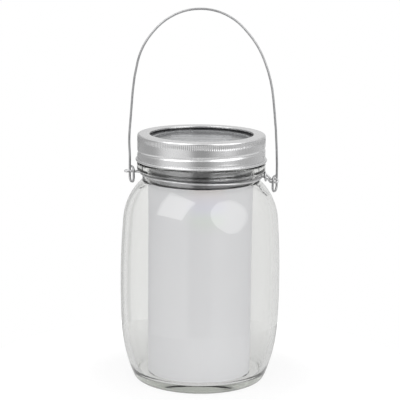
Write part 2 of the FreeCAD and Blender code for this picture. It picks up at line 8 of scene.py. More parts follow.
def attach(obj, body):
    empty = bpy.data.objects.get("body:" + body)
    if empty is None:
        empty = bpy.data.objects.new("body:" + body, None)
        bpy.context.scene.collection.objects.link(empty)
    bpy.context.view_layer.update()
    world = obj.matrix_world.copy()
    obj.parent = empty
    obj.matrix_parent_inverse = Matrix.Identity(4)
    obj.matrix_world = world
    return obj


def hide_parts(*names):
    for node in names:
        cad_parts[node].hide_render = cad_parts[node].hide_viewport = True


# Mason jar lantern with a solar lid. Lengths in the dictionaries are millimetres in the
# frame's own axes: +Z up, -Y front, +X the side of the wrapped ear. Angles are degrees.
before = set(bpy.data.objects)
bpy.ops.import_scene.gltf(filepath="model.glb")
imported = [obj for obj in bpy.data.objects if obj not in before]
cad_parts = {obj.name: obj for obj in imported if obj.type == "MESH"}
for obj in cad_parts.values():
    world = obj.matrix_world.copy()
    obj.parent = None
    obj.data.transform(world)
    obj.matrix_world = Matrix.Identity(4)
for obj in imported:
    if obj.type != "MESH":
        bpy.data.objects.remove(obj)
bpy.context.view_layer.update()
scene = bpy.context.scene
scene.view_settings.view_transform = "Standard"
mm = 0.001
quarter = pi / 2
fullTurn = 2 * pi
print("frame loaded:", len(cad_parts), "nodes")


def newObject(name, data):
    thing = bpy.data.objects.new(name, data)
    scene.collection.objects.link(thing)
    return thing


def inMetres(lengths):
    return tuple(length * mm for length in lengths)


# Camera at the photograph's place
camera = {
    "distance": 916.0, "aimHeight": 102.82, "sensor": 36.0,
    "tilt": 11.02, "roll": 0.63,                           # the tilt is below level
    "focal": 1628.0, "picture": 400.0, "aside": -0.82,     # pixels
}


def placeCamera(look):
    data = bpy.data.cameras.new("camera")
    data.sensor_width = look["sensor"]
    data.lens = look["sensor"] * look["focal"] / look["picture"]
    data.shift_x = look["aside"] / look["picture"]
    tilt = radians(look["tilt"])
    place = Vector((0, -cos(tilt), sin(tilt))) * look["distance"]
    place.z += look["aimHeight"]
    eye = newObject("camera", data)
    eye.matrix_world = (Matrix.Translation(place * mm) @ Matrix.Rotation(quarter - tilt, 4, "X")
                        @ Matrix.Rotation(radians(look["roll"]), 4, "Z"))
    scene.camera = eye


placeCamera(camera)


# Nodes: each input gets a value, or a link from a socket
def nodeAdder(tree):
    def add(kind, inputs=None, **settings):
        node = tree.nodes.new(kind)
        for key, value in settings.items():
            setattr(node, key, value)
        for key, value in (inputs or {}).items():
            if isinstance(value, bpy.types.NodeSocket):
                tree.links.new(value, node.inputs[key])
            else:
                node.inputs[key].default_value = value
        return node
    return add


def maths(add, operation, first, second=0.0, clamp=False):
    inputs = {0: first, 1: second}
    return add("ShaderNodeMath", inputs, operation=operation, use_clamp=clamp).outputs[0]


def vectorMaths(add, operation, first, second=(0, 0, 0)):
    node = add("ShaderNodeVectorMath", {0: first, 1: second}, operation=operation)
    return node.outputs["Value" if operation == "LENGTH" else "Vector"]


def spanned(add, value, span, result=(0.0, 1.0), smooth=False):
    inputs = {"Value": value, "From Min": span[0], "From Max": span[1],
              "To Min": result[0], "To Max": result[1]}
    kind = "SMOOTHSTEP" if smooth else "LINEAR"
    return add("ShaderNodeMapRange", inputs, interpolation_type=kind).outputs["Result"]


def blended(add, share, first, second):
    inputs = {"Factor": share, "A": first, "B": second}
    return add("ShaderNodeMix", inputs, data_type="FLOAT").outputs["Result"]


# The colour sockets of a mix node share their names with others, so they go by place
def blendedColour(add, share, first, second):
    return add("ShaderNodeMix", {0: share, 6: first, 7: second}, data_type="RGBA").outputs[2]


def noised(add, vector, scale, **more):
    return add("ShaderNodeTexNoise", {"Vector": vector, "Scale": scale, **more}).outputs[0]


def apart(add, vector):
    return add("ShaderNodeSeparateXYZ", {"Vector": vector}).outputs


def redOf(add, colour):
    return add("ShaderNodeSeparateColor", {"Color": colour}).outputs[0]


# A shade of its own for each cell of a broken-up surface
def flaked(add, vector, scale):
    cells = add("ShaderNodeTexVoronoi", {"Vector": vector, "Scale": scale})
    return redOf(add, cells.outputs["Color"])


def ramped(add, value, stops):
    node = add("ShaderNodeValToRGB", {"Fac": value})
    elements = node.color_ramp.elements
    for i, (place, colour) in enumerate(stops):
        stop = elements[i] if i < 2 else elements.new(place)
        stop.position = place
        stop.color = colour
    return node.outputs[0]


# Shared effects: each takes a place, and numbers or colours
def openGroup(name, **inputs):
    tree = bpy.data.node_groups.new(name, "ShaderNodeTree")
    tree.interface.new_socket("Vector", in_out="INPUT", socket_type="NodeSocketVector")
    for label, value in inputs.items():
        kind = "NodeSocketColor" if isinstance(value, tuple) else "NodeSocketFloat"
        socket = tree.interface.new_socket(label, in_out="INPUT", socket_type=kind)
        socket.default_value = value
    add = nodeAdder(tree)
    return tree, add, add("NodeGroupInput").outputs


def closeGroup(tree, add, **outputs):
    for label in outputs:
        kind = "NodeSocketColor" if label == "Color" else "NodeSocketFloat"
        tree.interface.new_socket(label, in_out="OUTPUT", socket_type=kind)
    add("NodeGroupOutput", outputs)
    return tree


# Fine speckle over a slower one
def makeGrain():
    slowness, slowShare, contrast = 0.12, 0.4, (0.3, 0.7)
    tree, add, given = openGroup("surface grain", Scale=900.0)
    fine = noised(add, given["Vector"], given["Scale"], Detail=5.0, Roughness=0.6)
    slowScale = maths(add, "MULTIPLY", given["Scale"], slowness)
    both = blended(add, slowShare, fine, noised(add, given["Vector"], slowScale, Detail=3.0))
    return closeGroup(tree, add, Mask=spanned(add, both, contrast), Height=both)


# Slow drift between two colours
def makeDrift():
    contrast = (0.3, 0.7)
    tree, add, given = openGroup("colour drift", Scale=60.0, Light=(1, 1, 1, 1), Dark=(0, 0, 0, 1))
    noise = noised(add, given["Vector"], given["Scale"], Detail=4.0, Distortion=0.4)
    mask = spanned(add, noise, contrast)
    return closeGroup(tree, add, Color=blendedColour(add, mask, given["Light"], given["Dark"]))


# Bare or rubbed edges, broken up by noise
def makeWear():
    noiseScale, contrast = 420.0, (0.35, 0.65)
    tree, add, given = openGroup("edge wear", Start=0.52, End=0.6, Amount=0.5)
    edge = add("ShaderNodeNewGeometry").outputs["Pointiness"]
    rubbed = spanned(add, edge, (given["Start"], given["End"]))
    noise = noised(add, given["Vector"], noiseScale, Detail=4.0)
    broken = maths(add, "MULTIPLY", rubbed, spanned(add, noise, contrast))
    return closeGroup(tree, add, Mask=maths(add, "MULTIPLY", broken, given["Amount"], True))


# Lines that run round the lantern's axis, as rolling and turning leave on metal
def makeRolled():
    contrast = (0.28, 0.72)
    tree, add, given = openGroup("rolled lines", Around=3.0, Across=2600.0)
    place = apart(add, given["Vector"])
    angle = maths(add, "ARCTAN2", place["Y"], place["X"])
    radius = vectorMaths(add, "LENGTH", vectorMaths(add, "MULTIPLY", given["Vector"], (1, 1, 0)))
    lines = add("ShaderNodeCombineXYZ", {"X": maths(add, "MULTIPLY", angle, given["Around"]),
                                         "Y": maths(add, "MULTIPLY", place["Z"], given["Across"]),
                                         "Z": maths(add, "MULTIPLY", radius, given["Across"])})
    noise = noised(add, lines.outputs[0], 1.0, Detail=5.0, Roughness=0.65)
    return closeGroup(tree, add, Mask=spanned(add, noise, contrast), Height=noise)


grainGroup = makeGrain()
driftGroup = makeDrift()
wearGroup = makeWear()
rolledGroup = makeRolled()

# What a finish has where its piece's dictionary doesn't say otherwise
plain = {"metallic": 0.0, "ior": 1.5, "driftScale": 90.0, "grainScale": 1500.0, "bump": 0.3,
         "bumpDepth": 0.05, "wear": 0.25, "wearEdge": (0.52, 0.6), "wornGain": 1.5,
         "wornLift": 0.03}


# A material with one main shader, and the effects laid on it
class Finish:
    def __init__(self, name, look, values=None):
        self.look = {**plain, **look}
        self.material = bpy.data.materials.new(name)
        self.material.use_nodes = True
        self.tree = self.material.node_tree
        self.tree.nodes.clear()
        self.add = nodeAdder(self.tree)
        values = {"Metallic": self.look["metallic"], "IOR": self.look["ior"], **(values or {})}
        self.shader = self.add("ShaderNodeBsdfPrincipled", values)
        self.output = self.add("ShaderNodeOutputMaterial", {"Surface": self.shader.outputs[0]})
        self.coords = self.add("ShaderNodeTexCoord").outputs["Object"]

    def feed(self, socket, value):
        self.tree.links.new(value, self.shader.inputs[socket])

    def put(self, socket, node):
        self.tree.links.new(node.outputs[0], self.output.inputs[socket])

    def effect(self, group, **inputs):
        inputs["Vector"] = self.coords
        return self.add("ShaderNodeGroup", inputs, node_tree=group).outputs

    def grain(self):
        return self.effect(grainGroup, Scale=self.look["grainScale"])

    def wear(self):
        start, end = self.look["wearEdge"]
        return self.effect(wearGroup, Start=start, End=end, Amount=self.look["wear"])["Mask"]

    # drifting colour, with another over it by a mask
    def colour(self, mask, other):
        look = self.look
        drift = self.effect(driftGroup, Scale=look["driftScale"], Light=look["light"],
                            Dark=look["dark"])
        mixed = blendedColour(self.add, mask, drift["Color"], other)
        self.feed("Base Color", mixed)
        return mixed

    def rough(self, mask):
        self.feed("Roughness", spanned(self.add, mask, (0.0, 1.0), self.look["rough"]))

    def bump(self, height):
        inputs = {"Height": height, "Strength": self.look["bump"],
                  "Distance": self.look["bumpDepth"] * mm}
        self.feed("Normal", self.add("ShaderNodeBump", inputs).outputs[0])

    def grained(self):
        grain = self.grain()
        self.rough(grain["Mask"])
        self.bump(grain["Height"])
        return self.material


# General finish of a moulded, stamped or coated piece: drifting colour, grain, rubbed edges
def grainedFinish(name, look):
    paint = Finish(name, look)
    lifted = [tone * plain["wornGain"] + plain["wornLift"] for tone in look["light"][:3]]
    worn = look.get("worn", (*(min(1.0, tone) for tone in lifted), 1))
    paint.colour(paint.wear(), worn)
    return paint.grained()


# Glass, resin and epoxy
def clearFinish(name, look):
    values = {"Base Color": look["tint"], "Transmission Weight": look["clear"]}
    paint = Finish(name, look, values)
    paint.grained()
    return paint


# Profiles of turned pieces: rows of (radius, height)
def arcRow(centre, radius, start, end, step=0.2):
    count = max(2, ceil(abs(end - start) * radius / step))
    angles = [start + (end - start) * i / count for i in range(count + 1)]
    return [(centre[0] + radius * cos(a), centre[1] + radius * sin(a)) for a in angles]


def evenRow(points, step, closed=False):
    points = list(points) + ([points[0]] if closed else [])
    row = [points[0]]
    left = step
    for (ax, ay), (bx, by) in zip(points, points[1:]):
        length = hypot(bx - ax, by - ay)
        done = 0.0
        while length - done > left:
            done += left
            share = done / length
            row.append((ax + (bx - ax) * share, ay + (by - ay) * share))
            left = step
        left -= length - done
    return row if closed else row + points[-1:]


# Ease every corner by a running average, with the ends of an open row kept
def easedRow(points, reach, closed=False, passes=3):
    count = len(points)
    for _ in range(passes):
        eased = []
        for i in range(count):
            near = reach if closed else min(reach, i, count - 1 - i)
            some = [points[(i + k) % count] for k in range(-near, near + 1)]
            eased.append(tuple(sum(parts) / len(some) for parts in zip(*some)))
        points = eased
    return points


# Keep a point where the row has turned enough, or run far enough
def thinnedRow(points, bend, longest, closed=False):
    kept = [points[0]]
    turned = 0.0
    run = 0.0
    for a, b, c in zip(points, points[1:], points[2:]):
        first = atan2(b[1] - a[1], b[0] - a[0])
        second = atan2(c[1] - b[1], c[0] - b[0])
        turned += abs((second - first + pi) % fullTurn - pi)
        run += hypot(b[0] - a[0], b[1] - a[1])
        if turned > bend or run > longest(b):
            kept.append(b)
            turned = 0.0
            run = 0.0
    return kept if closed else kept + points[-1:]


# Faces between neighbouring rings of points; a ring on the axis has one point many times
def ringFaces(rings):
    faces = []
    for low, high in zip(rings, rings[1:]):
        for j in range(len(low)):
            k = (j + 1) % len(low)
            faces.append(list(dict.fromkeys((low[j], low[k], high[k], high[j]))))
    return faces


# Turn a profile round the axis; shape(radius, height, angle) may move each point in or out
def lathe(profile, count, closed=False, shape=None):
    onAxis = 1e-4
    verts = []
    rings = []
    for r, z in profile:
        if r < onAxis:
            rings.append([len(verts)] * count)
            verts.append((0.0, 0.0, z))
            continue
        rings.append(list(range(len(verts), len(verts) + count)))
        for j in range(count):
            angle = fullTurn * j / count
            out = shape(r, z, angle) if shape else r
            verts.append((out * cos(angle), out * sin(angle), z))
    return verts, ringFaces(rings + rings[:1] if closed else rings)


# Each pass of a thread by a place: the turns left to its nearer end, and the height over it
def threadPasses(z, angle, thread):
    start, end = thread["turns"]
    for lap in thread["laps"]:
        turn = (angle + quarter) / fullTurn + lap
        yield min(turn - start, end - turn), z - thread["z"] - turn * thread["pitch"]


# Straight runs joined by bends; a bend of None is as large as its runs allow
def bentRoute(points, bends, step):
    closest = 1e-3
    route = [points[0]]
    for i in range(1, len(points) - 1):
        into = points[i] - points[i - 1]
        away = points[i + 1] - points[i]
        before = into.length if i == 1 else into.length / 2
        after = away.length if i == len(points) - 2 else away.length / 2
        halfTurn = into.angle(away) / 2
        tangent = min(before, after) if bends[i] is None else bends[i] * tan(halfTurn)
        radius = tangent / tan(halfTurn)
        into.normalize()
        away.normalize()
        centre = points[i] + (away - into).normalized() * (radius / cos(halfTurn))
        spoke = points[i] - into * tangent - centre
        axis = into.cross(away).normalized()
        steps = max(2, ceil(2 * halfTurn / step))
        turns = [Matrix.Rotation(2 * halfTurn * k / steps, 3, axis) for k in range(steps + 1)]
        route += [centre + turn @ spoke for turn in turns]
    route.append(points[-1])
    kept = [route[0]]
    for point in route[1:]:
        if (point - kept[-1]).length > closest:
            kept.append(point)
    return kept


def sharedBends(points, share):
    bends = []
    for a, b, c in zip(points, points[1:], points[2:]):
        run = share * min((b - a).length, (c - b).length)
        bends.append(run / tan((b - a).angle(c - b) / 2))
    return bends


# Round wire along a route, with its cut ends a little rounded
def wireMesh(route, radius, sides=18):
    headings = []
    for before, place, after in zip(route[:1] + route, route, route[1:] + route[-1:]):
        headings.append(((after - place).normalized() + (place - before).normalized()).normalized())
    side = headings[0].orthogonal().normalized()
    rows = []
    for i, (place, heading) in enumerate(zip(route, headings)):
        if i:
            side = headings[i - 1].rotation_difference(heading) @ side
            side = (side - heading * side.dot(heading)).normalized()
        rows.append((place, heading, side.copy(), radius))
    rounding = ((0.0, 0.72), (0.08, 0.9), (0.28, 1.0))     # way in and size, in radii

    def roundedEnd(row, sign):
        place, heading, side, size = row
        return [(place + heading * sign * size * d, heading, side, size * s) for d, s in rounding]

    rows = roundedEnd(rows[0], 1) + rows[1:-1] + roundedEnd(rows[-1], -1)[::-1]
    verts = []
    rings = []
    for place, heading, side, size in rows:
        other = heading.cross(side)
        rings.append(list(range(len(verts), len(verts) + sides)))
        for j in range(sides):
            angle = fullTurn * j / sides
            verts.append(tuple(place + (side * cos(angle) + other * sin(angle)) * size))
    return verts, ringFaces(rings) + [rings[0][::-1], rings[-1]]


def newMesh(name, verts, faces):
    mesh = bpy.data.meshes.new(name)
    mesh.from_pydata([inMetres(vert) for vert in verts], [], faces)
    return mesh


# Put a mesh on its body, and hide the nodes that it stands for
def placePiece(name, mesh, material, body, nodes):
    for face in mesh.polygons:
        face.use_smooth = True
    mesh.materials.clear()
    mesh.materials.append(material)
    piece = newObject(name, mesh)
    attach(piece, body)
    if nodes:
        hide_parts(*nodes)
    return piece


def makePiece(name, shape, material, body, nodes=(), flatTurn=None):
    mesh = newMesh(name, *shape)
    edit = bmesh.new()
    edit.from_mesh(mesh)
    bmesh.ops.recalc_face_normals(edit, faces=edit.faces)
    edit.to_mesh(mesh)
    edit.free()
    piece = placePiece(name, mesh, material, body, nodes)
    if flatTurn is not None:
        mesh.set_sharp_from_angle(angle=radians(flatTurn))
    return piece


# A carried-over node keeps its shape and gets a finish
def dressNode(node, material):
    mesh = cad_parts[node].data
    mesh.materials.clear()
    mesh.materials.append(material)


# Studio: walls round the lantern, two softboxes in front, a pale floor. The walls have a level
# of their own for plain light, for mirrors and for what is seen through glass
studio = {
    "ambient": 0.96, "below": 0.3, "belowRise": (-0.3, 0.0),     # below: a share of the ambient
    # mirrored walls by azimuth: 0 is the front, 90 the right
    "walls": ((-180, 0.8), (-160, 0.5), (-145, 0.5), (-125, 0.46), (-88, 0.46), (-72, 0.9),
              (-50, 0.97), (-22, 0.85), (-13, 0.33), (13, 0.33), (21, 0.58), (85, 0.52),
              (108, 0.6), (146, 0.72), (180, 0.8)),
    "mirrorBelow": 1.0, "mirrorBelowRise": (-0.55, -0.3),
    "mirrorAbove": 0.9, "mirrorAboveRise": (0.25, 0.55),
    # the back through glass, by the sine of the azimuth: a grey strip left of the middle
    "behind": ((-1.0, 0.9), (-0.46, 0.96), (-0.4, 0.72), (-0.3, 0.72), (-0.24, 0.98), (0.0, 0.97),
               (0.2, 0.9), (0.5, 0.85), (1.0, 1.0)),
    "front": 0.93, "backFrom": (-0.25, 0.25),
    "middle": 105.0,
    "boxes": {
        "softbox_left": {"azimuth": -50.0, "elevation": 41.0, "distance": 1000.0,
                         "shape": "RECTANGLE", "size": (780.0, 760.0), "radiance": 1.8},
        "softbox_right": {"azimuth": 48.0, "elevation": 25.0, "distance": 1000.0,
                          "shape": "DISK", "size": (1080.0, 1080.0), "radiance": 1.4},
    },
}


def placeSoftbox(name, box, middle):
    data = bpy.data.lights.new(name, "AREA")
    data.shape = box["shape"]
    data.size, data.size_y = inMetres(box["size"])
    area = data.size * data.size_y * (pi / 4 if box["shape"] == "DISK" else 1.0)
    data.energy = box["radiance"] * pi * area
    azimuth, elevation = radians(box["azimuth"]), radians(box["elevation"])
    way = Vector((sin(azimuth) * cos(elevation), -cos(azimuth) * cos(elevation), sin(elevation)))
    lamp = newObject(name, data)
    lamp.location = (way * box["distance"] + Vector((0, 0, middle))) * mm
    lamp.rotation_euler = (-way).to_track_quat("-Z", "Y").to_euler()
    lamp.visible_camera = False


# A grey by a value from -limit to limit, with the stops spread over the same span
def greyRamp(add, value, limit, stops):
    half = stops[-1][0]
    greys = [((place + half) / (2 * half), (grey, grey, grey, 1)) for place, grey in stops]
    return redOf(add, ramped(add, spanned(add, value, (-limit, limit)), greys))


def lightStudio(look):
    for name, box in look["boxes"].items():
        placeSoftbox(name, box, look["middle"])
    world = bpy.data.worlds.new("studio")
    world.use_nodes = True
    world.node_tree.nodes.clear()
    add = nodeAdder(world.node_tree)
    path = add("ShaderNodeLightPath").outputs
    way = apart(add, add("ShaderNodeTexCoord").outputs["Generated"])
    azimuth = maths(add, "ARCTAN2", way["X"], maths(add, "MULTIPLY", way["Y"], -1.0))
    walls = greyRamp(add, azimuth, pi, look["walls"])
    back = greyRamp(add, maths(add, "SINE", azimuth), 1.0, look["behind"])
    # straight through clear glass the front is pale; by way of the silvered shell it is the walls
    reflected = maths(add, "MINIMUM", path["Glossy Depth"], 1.0)
    front = blended(add, reflected, look["front"], walls)
    through = blended(add, spanned(add, way["Y"], look["backFrom"]), front, back)
    ambient = look["ambient"]
    around = spanned(add, way["Z"], look["belowRise"], (ambient * look["below"], ambient))
    fromBelow = spanned(add, way["Z"], look["mirrorBelowRise"])
    toAbove = spanned(add, way["Z"], look["mirrorAboveRise"])
    mirrored = blended(add, fromBelow, look["mirrorBelow"], walls)
    mirrored = blended(add, toAbove, mirrored, look["mirrorAbove"])
    level = blended(add, path["Is Glossy Ray"], around, mirrored)
    level = blended(add, path["Is Transmission Ray"], level, through)
    level = blended(add, path["Is Camera Ray"], level, 1.0)
    light = add("ShaderNodeBackground", {"Color": (1, 1, 1, 1), "Strength": level})
    add("ShaderNodeOutputWorld", {"Surface": light.outputs[0]})
    scene.world = world


# The floor glows white for the camera, and less near the jar; mirrors and glass see it dimmer.
# "Dulled" is the share of its own shading that the glow stands in for
floor = {
    "drop": 0.3, "reach": 130.0, "sides": 48, "colour": (0.42, 0.42, 0.42, 1), "rough": 0.8,
    "glow": 0.8, "glowNear": 50.0, "glowFar": 125.0, "dulled": 0.62,
    "mirrorGlow": 1.0, "mirrorFar": 0.4, "bentGlow": 0.84, "bentDulled": 0.9,
}


def layFloor(look):
    reach, near = look["reach"], look["glowNear"]
    rings = [(r, -look["drop"]) for r in (0.0, reach / 4, reach)]
    mesh = newMesh("floor", *lathe(rings, look["sides"]))
    paint = Finish("pale floor", look, {"Base Color": look["colour"], "Roughness": look["rough"],
                                        "Specular IOR Level": 0.0})
    add = paint.add
    path = add("ShaderNodeLightPath").outputs
    toCamera, throughGlass = path["Is Camera Ray"], path["Is Transmission Ray"]
    bent = maths(add, "MAXIMUM", path["Is Glossy Ray"], throughGlass)
    far = vectorMaths(add, "LENGTH", paint.coords)
    mirrored = spanned(add, far, inMetres((near, reach)), (look["mirrorGlow"], look["mirrorFar"]))
    bentGlow = blended(add, throughGlass, mirrored, look["bentGlow"])
    seen = maths(add, "ADD", toCamera, maths(add, "MULTIPLY", bent, bentGlow))
    dulled = maths(add, "ADD", maths(add, "MULTIPLY", toCamera, look["dulled"]),
                   maths(add, "MULTIPLY", bent, look["bentDulled"]))
    glow = spanned(add, far, inMetres((near, look["glowFar"])), (look["glow"], 1.0), True)
    light = add("ShaderNodeEmission", {"Strength": maths(add, "MULTIPLY", glow, seen)})
    dim = add("ShaderNodeMixShader", {0: dulled, 1: paint.shader.outputs[0]})
    paint.put("Surface", add("ShaderNodeAddShader", {0: dim.outputs[0], 1: light.outputs[0]}))
    mesh.materials.append(paint.material)
    newObject("floor", mesh)


lightStudio(studio)
layFloor(floor)
print("studio lit")


# Glass jar, with the thread in the same mesh
jar = {
    "height": 137.35, "bodyRadius": 45.0, "bellyZ": 57.0, "barrelRadius": 455.0,
    "lowZ": 31.7, "lowRadius": 86.0, "heelRadius": 4.5, "shoulderZ": 93.0,
    "wall": 3.2, "floor": 5.4, "floorCorner": 4.0, "bearing": 4.5, "punt": 1.6,
    "mouth": 30.2, "finish": 33.6, "groove": 32.9, "neckZ": 114.65, "rimRound": 0.9,
    "beadBottom": 120.05, "beadTop": 124.95, "beadRadius": 36.1, "beadRound": 0.9,
    "ribs": 3, "ribDepth": 0.22, "ribSteps": 24,
    "thread": {"z": 133.38, "pitch": 5.0, "turns": (-1.35, 0.25), "laps": (-2, -1, 0, 1)},
    "threadHeight": 1.3, "threadFade": 0.05, "rimClear": 1.0, "slack": 0.1,
    "rowStep": 0.2, "rowBend": 5.0, "longest": 2.6, "threadLongest": 0.33, "count": 224,
    "tint": (0.942, 0.942, 0.938, 1), "letThrough": (0.97, 0.97, 0.969, 1), "clear": 1.0,
    "absorb": (0.81, 0.818, 0.80, 1), "density": 60.0,
    "rough": (0.0, 0.012), "grainScale": 60.0, "bump": 0.12, "bumpDepth": 0.4,
}


# Plain and shadow rays pass the glass straight, so that the film is lit without caustics
def glassFinish(name, look):
    paint = clearFinish(name, look)
    add = paint.add
    path = add("ShaderNodeLightPath").outputs
    clear = add("ShaderNodeBsdfTransparent", {"Color": look["letThrough"]})
    straight = maths(add, "MAXIMUM", path["Is Shadow Ray"], path["Is Diffuse Ray"])
    panes = {0: straight, 1: paint.shader.outputs[0], 2: clear.outputs[0]}
    paint.put("Surface", add("ShaderNodeMixShader", panes))
    inside = {"Color": look["absorb"], "Density": look["density"]}
    paint.put("Volume", add("ShaderNodeVolumeAbsorption", inside))
    return paint.material


# Outside from the punt up to the rim, then inside down to the floor
def jarProfile(d):
    wall, height, heelRadius, corner = d["wall"], d["height"], d["heelRadius"], d["floorCorner"]
    barrelRadius, lowRadius = d["barrelRadius"], d["lowRadius"]
    lowAngle = asin((d["bellyZ"] - d["lowZ"]) / barrelRadius)
    lowRise = d["lowZ"] - heelRadius + lowRadius * sin(lowAngle)
    heelAngle = asin(lowRise / (lowRadius - heelRadius))
    barrel = (d["bodyRadius"] - barrelRadius, d["bellyZ"])
    turnX = barrel[0] + barrelRadius * cos(lowAngle)
    low = (turnX - lowRadius * cos(lowAngle), d["lowZ"] + lowRadius * sin(lowAngle))
    heel = (low[0] + (lowRadius - heelRadius) * cos(heelAngle), heelRadius)
    topAngle = asin((d["shoulderZ"] - d["bellyZ"]) / barrelRadius)
    outward = (cos(topAngle), sin(topAngle))
    startX = barrel[0] + barrelRadius * outward[0]
    dx, dz = d["groove"] - startX, d["neckZ"] - d["shoulderZ"]
    shoulderRadius = -(dx * dx + dz * dz) / (2 * (dx * outward[0] + dz * outward[1]))
    shoulder = (startX - shoulderRadius * outward[0], d["shoulderZ"] - shoulderRadius * outward[1])
    neckAngle = acos((d["groove"] - shoulder[0]) / shoulderRadius)
    innerShoulder, innerLow = shoulderRadius - wall, lowRadius - wall
    mouthAngle = acos((d["mouth"] - shoulder[0]) / innerShoulder)
    coveAngle = asin((low[1] - d["floor"] - corner) / (innerLow - corner))
    cove = (low[0] + (innerLow - corner) * cos(coveAngle), d["floor"] + corner)
    puntRadius = heel[0] - d["bearing"]
    edge, rim = d["beadRound"], d["rimRound"]
    beadLow, beadHigh = d["beadBottom"] + edge, d["beadTop"] - edge
    row = [(0.0, d["punt"]), (puntRadius - d["punt"], d["punt"]), (puntRadius, 0.0)]
    row += arcRow(heel, heelRadius, -quarter, -heelAngle)
    row += arcRow(low, lowRadius, -heelAngle, -lowAngle)
    row += arcRow(barrel, barrelRadius, -lowAngle, topAngle)
    row += arcRow(shoulder, shoulderRadius, topAngle, neckAngle)
    row += [(d["groove"], d["beadBottom"])]
    row += arcRow((d["beadRadius"] - edge, beadLow), edge, -quarter, 0.0)
    for i in range(1, d["ribSteps"]):            # soft ribs on the transfer bead
        share = i / d["ribSteps"]
        dip = d["ribDepth"] * (0.5 - 0.5 * cos(fullTurn * d["ribs"] * share))
        row.append((d["beadRadius"] - dip, beadLow + (beadHigh - beadLow) * share))
    row += arcRow((d["beadRadius"] - edge, beadHigh), edge, 0.0, quarter)
    row += [(d["finish"], d["beadTop"]), (d["finish"], height - rim)]
    row += arcRow((d["finish"] - rim, height - rim), rim, 0.0, quarter)
    row += arcRow((d["mouth"] + rim, height - rim), rim, quarter, pi)
    row += arcRow(shoulder, innerShoulder, mouthAngle, topAngle)
    row += arcRow(barrel, barrelRadius - wall, topAngle, -lowAngle)
    row += arcRow(low, innerLow, -lowAngle, -coveAngle)
    row += arcRow(cove, corner, -coveAngle, -quarter)
    return row + [(0.0, d["floor"])]


def buildJar(d):
    threadTop = d["height"] - d["rimClear"]

    def longest(point):
        onFinish = point[1] > d["beadTop"] and point[0] > d["finish"] - 2 * d["slack"]
        return d["threadLongest"] if onFinish else d["longest"]

    def withThread(r, z, angle):
        if r < d["finish"] - d["slack"] or not d["beadTop"] < z < threadTop:
            return r
        rise = 0.0
        for end, off in threadPasses(z, angle, d["thread"]):
            size = d["threadHeight"] * min(1.0, max(0.0, end / d["threadFade"])) ** 0.5
            if end > 0 and abs(off) < size:
                rise = max(rise, sqrt(size * size - off * off))
        return r + rise

    row = easedRow(evenRow(jarProfile(d), d["rowStep"]), reach=2)
    row = thinnedRow(row, radians(d["rowBend"]), longest)
    makePiece("glassJar", lathe(row, d["count"], shape=withThread), glassFinish("clear glass", d),
              "jar", ["glass_jar"])


buildJar(jar)
print("glass jar done")


# Rolled diffuser film: one turn and a lap behind its first edge
film = {
    "radius": 29.4, "thickness": 0.3, "shift": 0.65, "lap": 15.0,
    "bottom": 5.4, "top": 113.2, "columns": 150, "leastColumns": 6, "rows": 36, "flatTurn": 40,
    "sway": 0.1, "swayWaves": 3, "swayLean": 2.2,
    "light": (0.925, 0.925, 0.945, 1), "dark": (0.895, 0.895, 0.92, 1), "driftScale": 22.0,
    "through": 0.17, "ior": 1.49,
    "rough": (0.38, 0.52), "grainScale": 2200.0, "bump": 0.12, "bumpDepth": 0.02,
    # faint green, blue and warm painted light, a painted rainbow from the lamp, in a patch at the
    # top of the front
    "paintedRainbowX": 3.5, "paintedRainbowSide": (4.0, 14.0), "paintedRainbowFront": (-20.0, -26.0),
    "paintedRainbowHeight": (90.5, 113.5), "paintedRainbowStart": (88.0, 96.0), "paintedRainbowShare": 0.6,
    "paintedRainbowColours": ((0.0, (0.86, 0.9, 0.86, 1)), (0.3, (0.85, 0.91, 0.86, 1)),
              (0.55, (0.84, 0.84, 0.95, 1)), (0.75, (0.88, 0.85, 0.93, 1)),
              (1.0, (0.94, 0.87, 0.83, 1))),
}


def filmFinish(name, look):
    paint = Finish(name, look)
    add = paint.add
    place = apart(add, paint.coords)
    # painted coloured light: a faint rainbow from the lamp, laid over the film's colour at the top
    # of the front
    aside = maths(add, "ABSOLUTE", maths(add, "SUBTRACT", place["X"], look["paintedRainbowX"] * mm))
    patch = maths(add, "MULTIPLY",
                  spanned(add, aside, inMetres(look["paintedRainbowSide"]), (1.0, 0.0), True),
                  spanned(add, place["Y"], inMetres(look["paintedRainbowFront"])))
    patch = maths(add, "MULTIPLY", patch, spanned(add, place["Z"], inMetres(look["paintedRainbowStart"])))
    tint = ramped(add, spanned(add, place["Z"], inMetres(look["paintedRainbowHeight"])), look["paintedRainbowColours"])
    colour = paint.colour(maths(add, "MULTIPLY", patch, look["paintedRainbowShare"]), tint)
    glow = add("ShaderNodeBsdfTranslucent", {"Color": colour})
    sides = {0: look["through"], 1: paint.shader.outputs[0], 2: glow.outputs[0]}
    paint.put("Surface", add("ShaderNodeMixShader", sides))
    return paint.grained()


